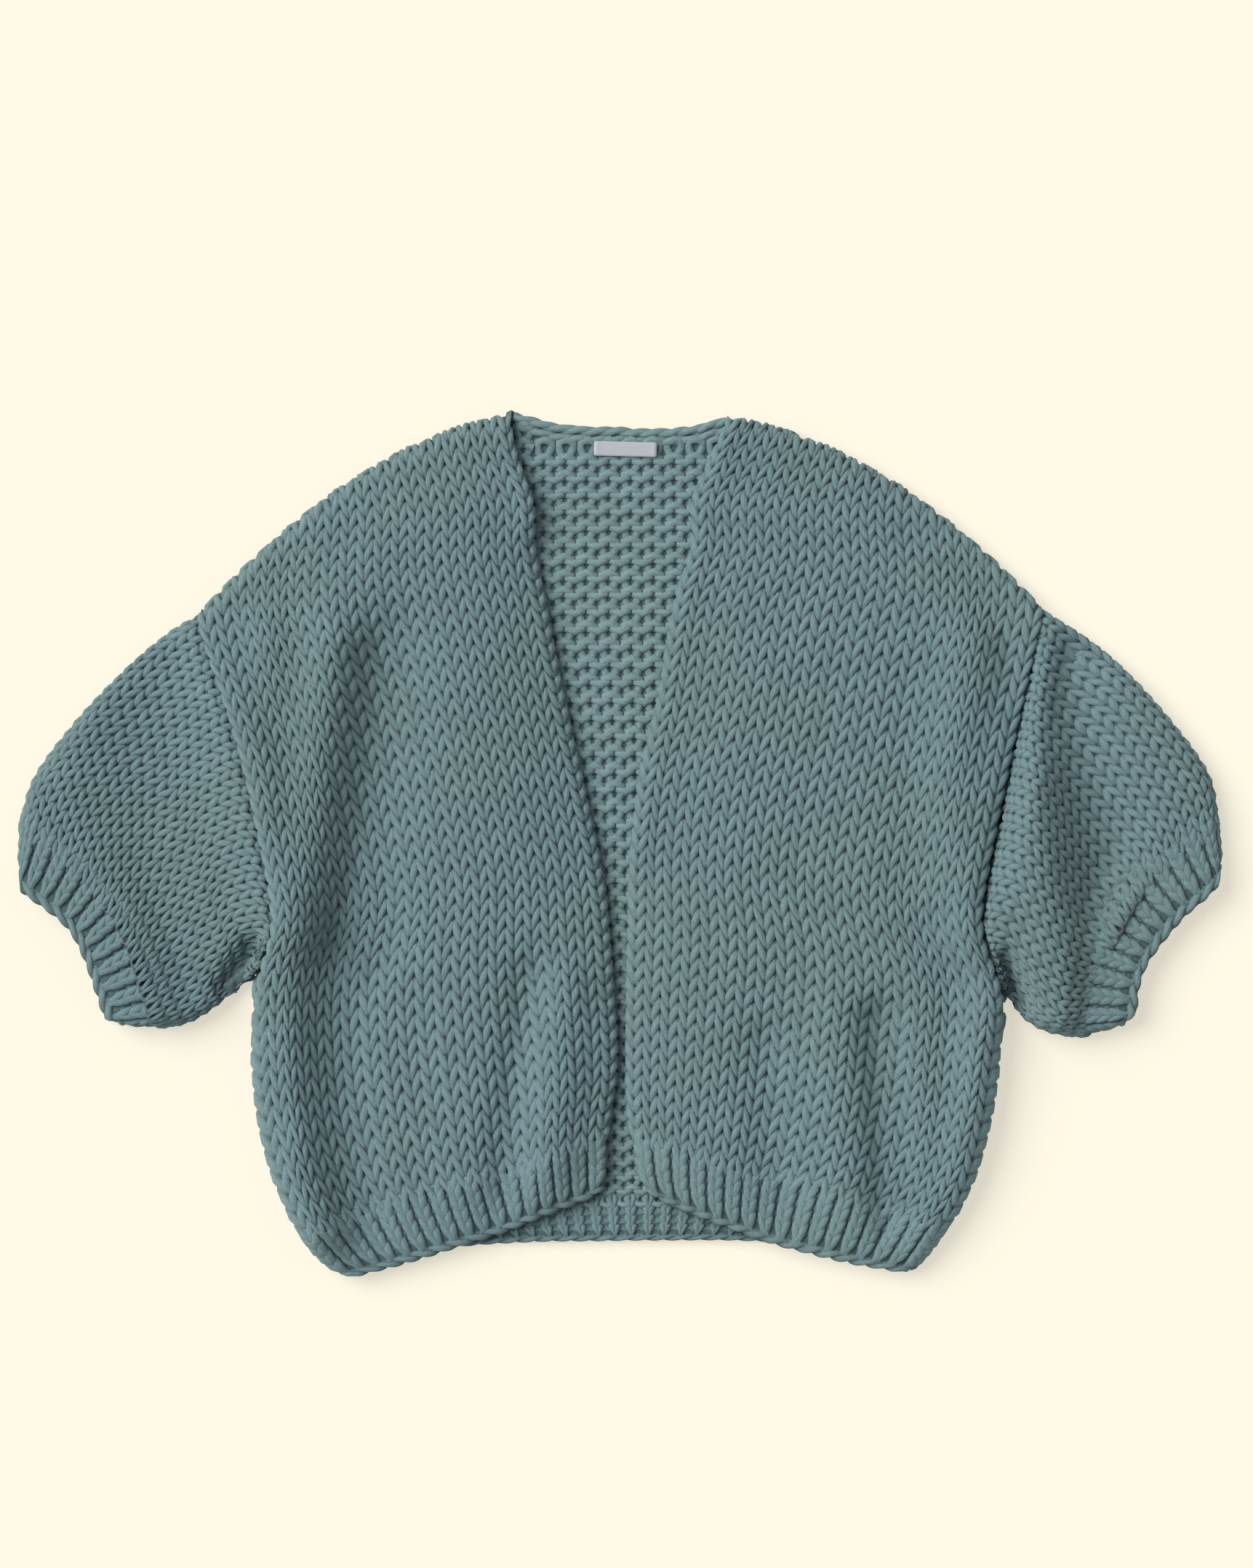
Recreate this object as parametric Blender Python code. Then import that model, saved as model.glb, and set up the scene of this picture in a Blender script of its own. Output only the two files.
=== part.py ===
"""Short-sleeve chunky cardigan, laid flat on a surface, as closed solids.

The wool is knitted in thick yarn, so the cloth is a wall about 9 mm thick. The back lies on
the surface, the two fronts lie on the back, and each sleeve is a flattened, softly blown-up
tube that is open at the armhole and at the cuff.

Built in millimetres and turned to metres at the end, +Z up, -Y towards the hem.
Left and right are as seen from above with the neck at the far side.
The origin is on the surface, under the middle of the garment's outline.
"""
from collections import namedtuple

import bmesh
import bpy
import numpy as np

MM = 0.001

# Driving sizes of the cloth, in millimetres
WALL = 9.0             # thickness of the knitted cloth
SEAM = 0.3             # clear gap between two pieces at a seam
LAID_TOP = 2 * WALL + SEAM   # height of a front that lies flat on the back
PANEL_CROWN = 6.0      # how far the middle of a front stands above that
CROWN_REACH = 60.0     # how far in from its edges a front has risen to its crown
EDGE_HEIGHT = 10.5     # height of the fold line along a sleeve's outline
EDGE_ROUND = 14.0      # how far in from its outline a sleeve rounds over
CUFF_ROUND = 12.0      # the same for a cuff
TIGHT_ROUND = 5.0      # least distance over which the inside of a tube rounds over
THIN_EDGE = 3.0        # least thickness of a wall where its edges round over

# Driving sizes of the ribbed edges, in millimetres
HEM_DEPTH = 42.0       # hem rib, from its edge to the plain knitting
CUFF_DEPTH = 42.0      # cuff rib, the same
RIB_RELIEF = 3.0       # from the top of a rib to the bottom of its groove
FRONT_RIBS = 10
BACK_RIBS = 21
CUFF_RIBS = 7          # on each face of the flattened cuff
BEAD = 8.0             # width of the cast-off edge that ends each rib
NECK_BEAD = 9.0        # width of the cast-off edge of the back neck
NECK_RISE = 3.0        # and how far it stands up
NECK_HALF = 60.0       # half the length of the back neck that shows between the fronts

# How far an edge sinks, and from how far in it starts to
Rounding = namedtuple("Rounding", "drop reach")
FREE_EDGE = Rounding(5.0, 9.0)
SHOULDER_EDGE = Rounding(6.0, 16.0)
SIDE_EDGE = Rounding(6.5, 13.0)
ARMHOLE_EDGE = Rounding(2.5, 8.0)

# Rows of a ribbed edge, from its free edge inwards: height of the cast-off bead on a front and
# on the back, and 1 where the row is ribbed
HemRow = namedtuple("HemRow", "depth front back ribbed")
HEM_ROWS = [HemRow(0, -4.0, -4.5, 0), HemRow(3.5, 1.5, 0, 0), HemRow(BEAD, -1.5, -1.5, 0),
            HemRow(14, 0, 0, 1), HemRow(HEM_DEPTH, 0, 0, 1)]
CuffRow = namedtuple("CuffRow", "depth bead ribbed")
CUFF_ROWS = [CuffRow(CUFF_DEPTH, 0, 1), CuffRow(16, 0, 1), CuffRow(BEAD, -1.5, 0), CuffRow(3, .5, 0),
             CuffRow(0, -4.0, 0)]

# Grid of each panel
FINE = 200             # points along an edge before it is divided
LINE_POINTS = 121      # points along a line across a sleeve or cuff
SPLINE_STEPS = 12      # points between two turning points of a smooth curve
LOW_ROWS = 9           # rows from the hem rib to the underarm
FRONT_COLUMNS = [0, .012, .035, .07, .12, .18, .25, .33, .42, .51, .6, .69, .77, .84, .9, .945, .975, .99, 1]
EDGE_COLUMNS = {.008, .025, .05, .975, .992}   # more columns of a sleeve, at its two folds
SHOULDER_STEPS = 8
NECK_STEPS = 6
SLEEVE_ROWS = [0, .03, .08, .16, .25, .35, .45, .55, .65, .75, .84, .93, 1]

Side = namedtuple("Side", "armhole hem_side edge_low edge_high neck "
                          "sleeve_top sleeve_bottom rib_line cuff_edge")
Fold = namedtuple("Fold", "x0 y0 x1 y1 x2 y2 width height")

# Outlines of each half in millimetres, each a row of (x, y) turning points along one edge
LEFT = Side(
    # Seam between front and sleeve, from the underarm up to the shoulder
    armhole=[(-271.5, -95), (-267, -84), (-262.5, -73), (-258, -62), (-260.5, -45), (-266, -18), (-271.5, 9),
             (-277, 37), (-284, 65), (-292, 92), (-301.5, 119.5), (-310.5, 145), (-318, 171.5)],
    # Side seam, from the hem corner up to the underarm
    hem_side=[(-204, -324.5), (-222, -312), (-239, -291), (-252, -269), (-261, -248), (-272.5, -204),
              (-277, -150), (-276, -125), (-271.5, -95)],
    # Free front edge, from the hem corner up to the bust, then up to the neck
    edge_low=[(-12, -260), (-7.5, -244), (-6, -205), (-1, -172), (-.5, -141), (-3.3, -100), (-7.6, -47),
              (-14, -5)],
    edge_high=[(-14, -5), (-27.6, 57.5), (-39.6, 111), (-54.7, 187.5), (-63, 225), (-62, 256), (-67, 278),
               (-81.3, 325)],
    neck=(-81.3, 325),
    # Outline of the sleeve from the shoulder to the cuff rib, and from the underarm to the cuff rib
    sleeve_top=[(-318, 171.5), (-331, 164.5), (-345.3, 154.5), (-370.7, 132.5), (-401.6, 100), (-428.2, 67),
                (-441, 45), (-448, 20)],
    sleeve_bottom=[(-271.5, -95), (-292, -113), (-310, -126.5), (-323, -133), (-336, -135.5)],
    # Where the sleeve is gathered into its rib, and the free edge of that rib
    rib_line=[(-448, 20), (-402.8, -11.9), (-366, -56), (-346.5, -103), (-336, -135.5)],
    cuff_edge=[(-450.5, -23), (-447, -35), (-437.5, -42.5), (-416.5, -58.5), (-404.5, -76), (-391, -112),
               (-385, -129), (-375, -135.5)])
RIGHT = Side(
    armhole=[(288.3, -111.5), (281.7, -95.3), (275.1, -79.2), (268.5, -63), (271.5, -40), (276.3, -15),
             (281.8, 12), (287.5, 40), (293.2, 68), (299, 96), (304.6, 121), (310.5, 147), (317.7, 176.5)],
    hem_side=[(213, -320.5), (226, -311), (241.2, -291), (256.4, -269.4), (266.7, -247.7), (278.6, -204),
              (283.5, -170), (287, -135), (288.3, -111.5)],
    edge_low=[(20, -261.5), (9.8, -244), (5.4, -218), (2.7, -185), (2.4, -159), (2.4, -106), (4, -47),
              (5.5, -5)],
    edge_high=[(5.5, -5), (12, 53), (26, 111), (36.9, 177), (51, 225), (51, 256), (61, 281), (80.8, 322.5)],
    neck=(80.8, 322.5),
    sleeve_top=[(317.7, 176.5), (352.8, 153.4), (378.3, 131.7), (407.6, 99.2), (432.5, 66.7), (443, 45),
                (446.8, 20)],
    sleeve_bottom=[(288.3, -111.5), (297, -126), (312, -137), (327, -141.5), (340, -142.8)],
    rib_line=[(446.8, 20), (409.5, -5), (375, -38), (353, -84), (340, -142.8)],
    cuff_edge=[(450.4, -19), (446.5, -29.5), (436.3, -41), (419, -56), (396, -85), (387.5, -106),
               (385.5, -124), (379, -135)])
HALVES = {"left": LEFT, "right": RIGHT}
NECK_DIP = [(-66, 320.5), (-46, 315), (0, 312.5), (46, 313), (64, 316.5)]   # back neck between the shoulders

# The two hem corners of the back lie under those of the fronts
BACK_HEM_RISE = 27.0   # how far the middle of the back's hem is above its corners
FRONT_HEM_SAG = {"left": 4.5, "right": 8.0}   # how far the middle of a front's hem hangs below its corners
SHOULDER_BOW = 22.5    # how far the shoulder stands out from the line between its ends
SHOULDER_SKEW = .22    # and how much fuller it is towards the neck

# Main folds, one a row: three points along the crest or trough, half its width, and its height
FRONT_FOLDS = {
    "left": [
        Fold(-308, 150, -277, 60, -247, -78, 13, 5.5),       # ridge of the armhole seam
        Fold(-247, -78, -262, -150, -246, -262, 12, 4.0),    # ridge along the side
        Fold(-205, 155, -198, 60, -226, -60, 24, -5.0),      # trough below the shoulder
        Fold(-226, -60, -236, -130, -226, -250, 15, -7.0),   # valley beside the side ridge
        Fold(-50, -128, -70, -190, -84, -262, 30, 4.5),      # lower front, by the hem
        Fold(-120, 120, -105, 0, -110, -100, 34, 2.5)],      # middle of the front
    "right": [
        Fold(306, 150, 285, 45, 254, -72, 13, 5.5),
        Fold(258, -80, 270, -150, 252, -262, 12, 4.0),
        Fold(226, 130, 222, 40, 238, -60, 22, -4.0),
        Fold(238, -60, 247, -140, 236, -250, 14, -6.5),
        Fold(181, -150, 186, -205, 190, -285, 17, -6.0),     # groove above the hem
        Fold(132, -130, 146, -200, 158, -280, 22, 4.0),
        Fold(110, 130, 95, 20, 80, -110, 34, 2.5)]}
SLEEVE_FOLDS = {
    "left": [
        Fold(-292, 60, -300, -10, -330, -100, 22, 4.0),      # soft ridge beside the gathers
        Fold(-340, 110, -380, 40, -385, -20, 30, 3.0),
        Fold(-320, 80, -345, 10, -362, -60, 14, -3.0),
        Fold(-268, -72, -274, -84, -284, -98, 9, -11.0)],    # hollow under the arm
    "right": [
        Fold(293, 62, 297, -5, 288, -66, 16, 9.0),           # ridge that stands beside the seam
        Fold(304, 118, 317, 20, 325, -95, 15, -17.0),        # deep valley beyond it
        Fold(296, -88, 312, -124, 342, -132, 13, 5.0),       # the ridge carried on under the arm
        Fold(281, -74, 289, -86, 291, -104, 8, -11.0)]}
SLEEVE_PUFF = {"left": 21.0, "right": 22.0}
FOLD_FADE = .12        # share of a sleeve's length over which its folds die out at each end
ARMHOLE_TOP = 21.5     # height of a sleeve at its armhole seam
RIB_LINE_TOP = 26.5    # and where it is gathered into the cuff
CUFF_TOP = 24.5        # and at the cuff's edge
CUFF_INSIDE = 1.5      # how far the plain inside of a cuff lies below the ribs' tops

LABEL_SIZE = [47.0, 11.0, 1.2]
LABEL_PLACE = (3.8, 296.0)
LABEL_TURN = np.radians(-1.5)

WOOL = {"name": "Sage wool", "colour": (.150, .232, .248, 1), "roughness": .9}
LABEL_CLOTH = {"name": "Woven label", "colour": (.50, .55, .60, 1), "roughness": .6}


# Curves and folds
def smooth(rows, count=FINE):
    """Points evenly spaced along a smooth curve through the rows."""
    points = np.array(rows, float)
    ends = np.vstack([2 * points[0] - points[1], points, 2 * points[-1] - points[-2]])
    fine = []
    for a, b, c, d in zip(ends, ends[1:], ends[2:], ends[3:]):
        for t in np.linspace(0, 1, SPLINE_STEPS, endpoint=False):
            fine.append(.5 * (2 * b + (c - a) * t + (2 * a - 5 * b + 4 * c - d) * t ** 2
                              + (3 * b - a - 3 * c + d) * t ** 3))
    fine.append(points[-1])
    return along(np.array(fine), np.linspace(0, 1, count))


def along(line, fractions):
    """Points of a polyline at the given fractions of its length."""
    steps = np.linalg.norm(np.diff(line, axis=0), axis=1)
    reach = np.concatenate([[0], np.cumsum(steps)])
    at = np.asarray(fractions) * reach[-1]
    return np.stack([np.interp(at, reach, line[:, k]) for k in range(line.shape[1])], axis=-1)


def length(line):
    return np.linalg.norm(np.diff(line, axis=0), axis=1).sum()


def fold_height(folds, x, y):
    """Height that all the folds together add at each point."""
    total = np.zeros(np.shape(x))
    for fold in folds:
        start, middle, end = np.array(fold[:6]).reshape(3, 2)
        nearest = np.full(np.shape(x), np.inf)
        for t in np.linspace(0, 1, 25):
            px, py = (1 - t) ** 2 * start + 2 * t * (1 - t) * (2 * middle - (start + end) / 2) + t ** 2 * end
            nearest = np.minimum(nearest, np.hypot(x - px, y - py))
        total += fold.height * np.exp(-(nearest / fold.width) ** 2)
    return total


def round_over(distance, reach):
    """0 at an edge, rising as a quarter circle to 1 at the given reach."""
    short = np.clip(1 - np.asarray(distance) / reach, 0, 1)
    return np.sqrt(1 - short ** 2)


def sink(rounding, distance):
    """How far a rounded edge has sunk at the given distance from it."""
    return rounding.drop * (1 - round_over(distance, rounding.reach))


def rib_wave(count):
    """Rib phase of each column, and its height from 0 in a groove to 1 on a rib."""
    phase, height = [], []
    for rib in range(count):
        for place, level in ((.0, .0), (.27, .85), (.5, 1.0), (.73, .85)):
            phase.append((rib + place) / count)
            height.append(level)
    return np.array(phase + [1.0]), np.array(height + [0.0])


# Making and finishing a piece
def material(finish):
    made = bpy.data.materials.get(finish["name"]) or bpy.data.materials.new(finish["name"])
    made.use_nodes = True
    shader = made.node_tree.nodes["Principled BSDF"]
    shader.inputs["Base Color"].default_value = finish["colour"]
    shader.inputs["Roughness"].default_value = finish["roughness"]
    shader.inputs["Metallic"].default_value = 0.0
    return made


def finish_piece(name, mesh, finish, collection):
    mesh.shade_smooth()
    mesh.set_sharp_from_angle(angle=np.radians(50))
    mesh.materials.append(material(finish))
    piece = bpy.data.objects.new(name, mesh)
    collection.objects.link(piece)


def wall(name, outer, inner, collection, ring=False):
    """Closed wall between two grids of points, open-ended tubes where the rows are rings."""
    rows, columns = outer.shape[:2]
    mesh = bpy.data.meshes.new(name)
    build = bmesh.new()
    grids = []
    for grid in (outer, inner):
        grids.append([[build.verts.new(point) for point in row] for row in grid * MM])
    last = columns if ring else columns - 1
    for r in range(rows - 1):
        for c in range(last):
            n = (c + 1) % columns
            build.faces.new((grids[0][r][c], grids[0][r][n], grids[0][r + 1][n], grids[0][r + 1][c]))
            build.faces.new((grids[1][r][c], grids[1][r + 1][c], grids[1][r + 1][n], grids[1][r][n]))
    for r, turned in ((0, False), (rows - 1, True)):
        for c in range(last):
            n = (c + 1) % columns
            face = (grids[0][r][n], grids[0][r][c], grids[1][r][c], grids[1][r][n])
            build.faces.new(tuple(reversed(face)) if turned else face)
    if not ring:
        for c, turned in ((0, True), (columns - 1, False)):
            for r in range(rows - 1):
                face = (grids[0][r + 1][c], grids[0][r][c], grids[1][r][c], grids[1][r + 1][c])
                build.faces.new(tuple(face) if turned else tuple(reversed(face)))
    bmesh.ops.recalc_face_normals(build, faces=build.faces)
    build.to_mesh(mesh)
    build.free()
    finish_piece(name, mesh, WOOL, collection)


def with_height(plan, z):
    return np.concatenate([plan, np.broadcast_to(z, plan.shape[:2])[..., None]], axis=2)


def inset(plan, left=0.0, right=0.0, bottom=0.0, top=0.0):
    """Moves the outer rows and columns of a plan inwards by the given gaps."""
    moved = plan.copy()
    for gap, edge, beside in ((left, np.s_[:, 0], np.s_[:, 1]), (right, np.s_[:, -1], np.s_[:, -2]),
                              (bottom, np.s_[0], np.s_[1]), (top, np.s_[-1], np.s_[-2])):
        step = plan[beside] - plan[edge]
        moved[edge] = moved[edge] + gap * step / np.linalg.norm(step, axis=1, keepdims=True)
    return moved


# Plan of the body, shared by the fronts and the back
def rails(half):
    """Side seam and free edge of a front, row by row from the hem rib up to the shoulder."""
    side = smooth(half.hem_side)
    edge = smooth(half.edge_low)
    low = np.linspace(HEM_DEPTH / length(side), 1, LOW_ROWS + 1)
    high = smooth(half.edge_high, len(half.armhole))
    side_all = np.vstack([along(side, low), np.array(half.armhole, float)[1:]])
    edge_all = np.vstack([along(edge, low), high[1:]])
    return side_all, edge_all


def rib_rails(half):
    """The same two edges over the rows of the hem rib."""
    side = smooth(half.hem_side)
    fractions = np.array([row.depth for row in HEM_ROWS]) / length(side)
    return along(side, fractions), along(smooth(half.edge_low), fractions)


def across(start, end, fractions, bow, skew=0.0):
    """Points from one edge to the other on a shallow arc, bow high and fuller at the end by skew."""
    u = np.asarray(fractions)[:, None]
    direction = (end - start) / np.linalg.norm(end - start)
    outwards = np.array([-direction[1], direction[0]])
    if outwards[1] < 0:
        outwards = -outwards
    return start + (end - start) * u + outwards * bow * 4 * u * (1 - u) * (1 + skew * (2 * u - 1))


def row_bow(row, half):
    """Bow of a front's row: none at the underarm and that of the shoulder at the top."""
    return SHOULDER_BOW * max(0.0, (row - LOW_ROWS) / (len(half.armhole) - 1)) ** 1.5


# The fronts
def front_top(name, x, y, side_gap, edge_gap, top_gap):
    """Height of a front's outer face before its edges sink, from its place and its distances to them."""
    rise = np.sin(np.pi / 2 * np.clip(np.minimum(side_gap, edge_gap) / CROWN_REACH, 0, 1))
    crown = PANEL_CROWN * rise * np.clip(top_gap / CROWN_REACH, 0, 1)
    return np.maximum(LAID_TOP + crown + fold_height(FRONT_FOLDS[name], x, y), LAID_TOP)


def front(name, collection):
    half = HALVES[name]
    side, edge = rails(half)
    rows = len(side)
    plan = np.array([across(side[r], edge[r], FRONT_COLUMNS, row_bow(r, half), SHOULDER_SKEW)
                     for r in range(rows)])
    widths = np.array([length(row) for row in plan])[:, None]
    columns = np.array(FRONT_COLUMNS)[None, :]
    from_side, from_edge = columns * widths, (1 - columns) * widths
    from_top = np.linalg.norm(plan[-1][None, :, :] - plan, axis=2)
    top = front_top(name, plan[..., 0], plan[..., 1], from_side, from_edge, from_top)
    # Below the underarm the front rounds over to the side; above it the seam sinks in a little
    low = (np.arange(rows) <= LOW_ROWS)[:, None]
    drop = sink(FREE_EDGE, from_edge) + sink(SHOULDER_EDGE, from_top)
    drop += np.where(low, sink(SIDE_EDGE, from_side), sink(ARMHOLE_EDGE, from_side))
    z_low = np.maximum(top - WALL, WALL + SEAM)
    z_top = np.maximum(top - drop, z_low + THIN_EDGE)
    plan = inset(plan, left=SEAM / 2, bottom=SEAM / 2)
    wall(f"front_{name}", with_height(plan, z_top), with_height(plan, z_low), collection)


def front_hem(name, collection):
    side, edge = rib_rails(HALVES[name])
    phase, ridge = rib_wave(FRONT_RIBS)
    plan, level = [], []
    for row, start, end in zip(HEM_ROWS, side, edge):
        plan.append(across(start, end, phase, -FRONT_HEM_SAG[name] * (1 - row.depth / HEM_DEPTH)))
        level.append(row.front + row.ribbed * (ridge - 1) * RIB_RELIEF)
    plan = np.array(plan)
    widths = np.array([length(row) for row in plan])[:, None]
    from_side, from_edge = phase * widths, (1 - phase) * widths
    top = front_top(name, plan[..., 0], plan[..., 1], from_side, from_edge, CROWN_REACH)
    fade = np.array([row.depth / HEM_DEPTH for row in HEM_ROWS])[:, None]
    height = LAID_TOP + (top - LAID_TOP) * fade
    z_low = np.maximum(height - WALL, WALL + SEAM)
    ends = sink(SIDE_EDGE, from_side) + sink(FREE_EDGE, from_edge)
    z_top = np.maximum(height + np.array(level) - ends, z_low + THIN_EDGE)
    plan = inset(plan, left=SEAM / 2, top=SEAM / 2)
    wall(f"hem_rib_front_{name}", with_height(plan, z_top), with_height(plan, z_low), collection)


# The back
def hem_rise(fractions):
    """How far the back's hem stands above its corners, flat in the middle."""
    return BACK_HEM_RISE * (1 - (2 * fractions - 1) ** 4)


def back_top_edge():
    """Left shoulder, neck and right shoulder, as one line of points."""
    shoulders = []
    for half in (LEFT, RIGHT):
        ends = np.array([half.armhole[-1], half.neck], float)
        shoulders.append(across(*ends, np.linspace(0, 1, SHOULDER_STEPS + 1), SHOULDER_BOW, SHOULDER_SKEW))
    neck = smooth([LEFT.neck, *NECK_DIP, RIGHT.neck], NECK_STEPS + 1)
    return np.vstack([shoulders[0], neck[1:-1], shoulders[1][::-1]])


def back(collection):
    left, right = rails(LEFT)[0], rails(RIGHT)[0]
    top = back_top_edge()
    fractions = np.linspace(0, 1, len(top))
    chord = across(left[-1], right[-1], fractions, 0)
    rows = []
    for r in range(len(left)):
        line = across(left[r], right[r], fractions, 0)
        line += (top - chord) * max(0.0, (r - LOW_ROWS) / (len(left) - 1 - LOW_ROWS))
        line[:, 1] += hem_rise(fractions) * max(0.0, 1 - r / LOW_ROWS)
        rows.append(line)
    plan = inset(np.array(rows), left=SEAM / 2, right=SEAM / 2, bottom=SEAM / 2)
    # Two rows near the top make room for the cast-off edge of the neck
    step = plan[-2] - plan[-1]
    step *= NECK_BEAD / np.linalg.norm(step, axis=1, keepdims=True)
    plan = np.vstack([plan[:-1], (plan[-1] + step)[None], (plan[-1] + step / 2)[None], plan[-1:]])
    z_top = np.full(plan.shape[:2], WALL)
    free = np.abs(plan[-2, :, 0]) < NECK_HALF
    z_top[-2, free] = WALL + NECK_RISE
    z_top[-1, free] = WALL + NECK_RISE / 2
    wall("back", with_height(plan, z_top), with_height(plan, 0.0), collection)


def back_hem(collection):
    left, right = rib_rails(LEFT)[0], rib_rails(RIGHT)[0]
    phase, ridge = rib_wave(BACK_RIBS)
    plan, level = [], []
    for row, start, end in zip(HEM_ROWS, left, right):
        line = across(start, end, phase, 0)
        line[:, 1] += hem_rise(phase)
        plan.append(line)
        level.append(WALL + row.back + row.ribbed * (ridge - 1) * RIB_RELIEF)
    plan = inset(np.array(plan), top=SEAM / 2)
    wall("hem_rib_back", with_height(plan, np.array(level)), with_height(plan, 0.0), collection)


# The sleeves and their cuffs
def sleeve_plan(half, rows):
    """Lines from the shoulder side to the underarm side, from the armhole to the rib line."""
    fine = np.linspace(0, 1, LINE_POINTS)
    start = along(np.array(half.armhole, float)[::-1], fine)
    fan = along(smooth(half.rib_line), fine)
    upper = along(smooth(half.sleeve_top), rows)
    lower = along(smooth(half.sleeve_bottom), rows)
    u = fine[:, None]
    lines = []
    for v, first, last in zip(rows, upper, lower):
        straight = ((1 - u) * (1 - v) * start[0] + u * (1 - v) * start[-1]
                    + (1 - u) * v * fan[0] + u * v * fan[-1])
        lines.append((1 - v) * start + v * fan + (1 - u) * first + u * last - straight)
    return lines


def ring_fractions(half):
    """Columns on each face of a sleeve: every turning point of the seam, and more at the folds."""
    seam = np.array(half.armhole, float)[::-1]
    steps = np.linalg.norm(np.diff(seam, axis=0), axis=1)
    reach = np.concatenate([[0], np.cumsum(steps)]) / steps.sum()
    return np.array(sorted(set(reach) | EDGE_COLUMNS))


def tube_ring(line, fractions, height, skin, side_reach):
    """One ring of a flattened tube that lies along a line in plan, at a depth of skin in its wall."""
    width = length(line)
    # The inner ring keeps the outer one's places, and only draws in near the two folds
    at = fractions * width
    at = np.where(at < 2 * skin, skin + at / 2, at)
    at = np.where(at > width - 2 * skin, width - skin - (width - at) / 2, at)
    points = along(line, at / width)
    lift = round_over(np.minimum(at, width - at) - skin, max(side_reach - skin, TIGHT_ROUND))
    crown = height(points[:, 0], points[:, 1], at / width) - skin
    crown = np.maximum(crown, skin + CUFF_INSIDE if skin else 0)
    top = np.column_stack([points, EDGE_HEIGHT + (crown - EDGE_HEIGHT) * lift])
    bottom = np.column_stack([points, EDGE_HEIGHT + (skin - EDGE_HEIGHT) * lift])
    return np.vstack([top, bottom[::-1][1:-1]])


def puff(v):
    """Share of the sleeve's blown-up height, fullest a third of the way from armhole to cuff."""
    return 0.0 if v == 1 else max(0.0, np.sin(np.pi * min(1.0, v * 1.15 + .02) ** .62))


def beside(line, gap):
    """The same line moved sideways, to the left of its own direction where the gap is positive."""
    slope = np.gradient(line, axis=0)
    normal = np.column_stack([-slope[:, 1], slope[:, 0]])
    return line + gap * normal / np.linalg.norm(normal, axis=1, keepdims=True)


def sleeve(name, collection):
    half = HALVES[name]
    fractions = ring_fractions(half)
    outer, inner = [], []
    for v, line in zip(SLEEVE_ROWS, sleeve_plan(half, SLEEVE_ROWS)):
        # The ends stop short of the seams by the gap
        if v in (0, 1):
            line = beside(line, SEAM * (1 if v == 0 else -1) * np.sign(half.neck[0]))
            line = along(line, fractions)
        base = ARMHOLE_TOP + (RIB_LINE_TOP - ARMHOLE_TOP) * v
        blown = SLEEVE_PUFF[name] * puff(v)
        share = np.clip(v / FOLD_FADE, 0, 1) * np.clip((1 - v) / FOLD_FADE, 0, 1)

        def height(x, y, u, base=base, blown=blown, share=share):
            rounded = np.sin(np.pi * np.clip(u, 0, 1)) ** .7
            return base + blown * rounded + share * fold_height(SLEEVE_FOLDS[name], x, y)

        outer.append(tube_ring(line, fractions, height, 0.0, EDGE_ROUND))
        inner.append(tube_ring(line, fractions, height, WALL, EDGE_ROUND))
    wall(f"sleeve_{name}", np.array(outer), np.array(inner), collection, ring=True)


def cuff(name, collection):
    half = HALVES[name]
    phase, ridge = rib_wave(CUFF_RIBS)
    start = along(smooth(half.rib_line), ring_fractions(half))
    start = along(start, np.linspace(0, 1, LINE_POINTS))
    end = smooth(half.cuff_edge, LINE_POINTS)
    outer, inner = [], []
    for row in CUFF_ROWS:
        v = 1 - row.depth / CUFF_DEPTH
        line = (1 - v) * start + v * end
        ribbed = RIB_LINE_TOP + (CUFF_TOP - RIB_LINE_TOP) * v + row.bead
        ribbed = ribbed + (ridge - 1) * RIB_RELIEF * row.ribbed
        plain = np.full(phase.shape, CUFF_TOP - CUFF_INSIDE)
        outer.append(tube_ring(line, phase, lambda x, y, u, level=ribbed: level, 0.0, CUFF_ROUND))
        inner.append(tube_ring(line, phase, lambda x, y, u, level=plain: level, WALL, CUFF_ROUND))
    wall(f"cuff_{name}", np.array(outer), np.array(inner), collection, ring=True)


# The label
def label(collection):
    """Small woven label, bare, on the inside of the back below the neck."""
    bpy.ops.mesh.primitive_cube_add(size=1)
    cube = bpy.context.active_object
    mesh = cube.data
    centre = np.array([*LABEL_PLACE, WALL + SEAM + LABEL_SIZE[2] / 2])
    cosine, sine = np.cos(LABEL_TURN), np.sin(LABEL_TURN)
    for vertex in mesh.vertices:
        x, y, z = np.array(vertex.co) * LABEL_SIZE
        vertex.co = (centre + [x * cosine - y * sine, x * sine + y * cosine, z]) * MM
    bpy.data.objects.remove(cube)
    mesh.name = "label"
    finish_piece("label", mesh, LABEL_CLOTH, collection)


def main():
    for item in list(bpy.data.objects):
        bpy.data.objects.remove(item, do_unlink=True)
    collection = bpy.data.collections.new("short_sleeve_cardigan")
    bpy.context.scene.collection.children.link(collection)
    back(collection)
    back_hem(collection)
    for name in HALVES:
        front(name, collection)
        front_hem(name, collection)
        sleeve(name, collection)
        cuff(name, collection)
    label(collection)


main()
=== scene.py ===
"""A chunky hand-knitted cardigan with short sleeves, laid flat on a pale floor.

Every stitch is made: each course of yarn is looped flat, as it comes off the needles, and the
fabric is then laid in the shape of its piece.
"""

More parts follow.
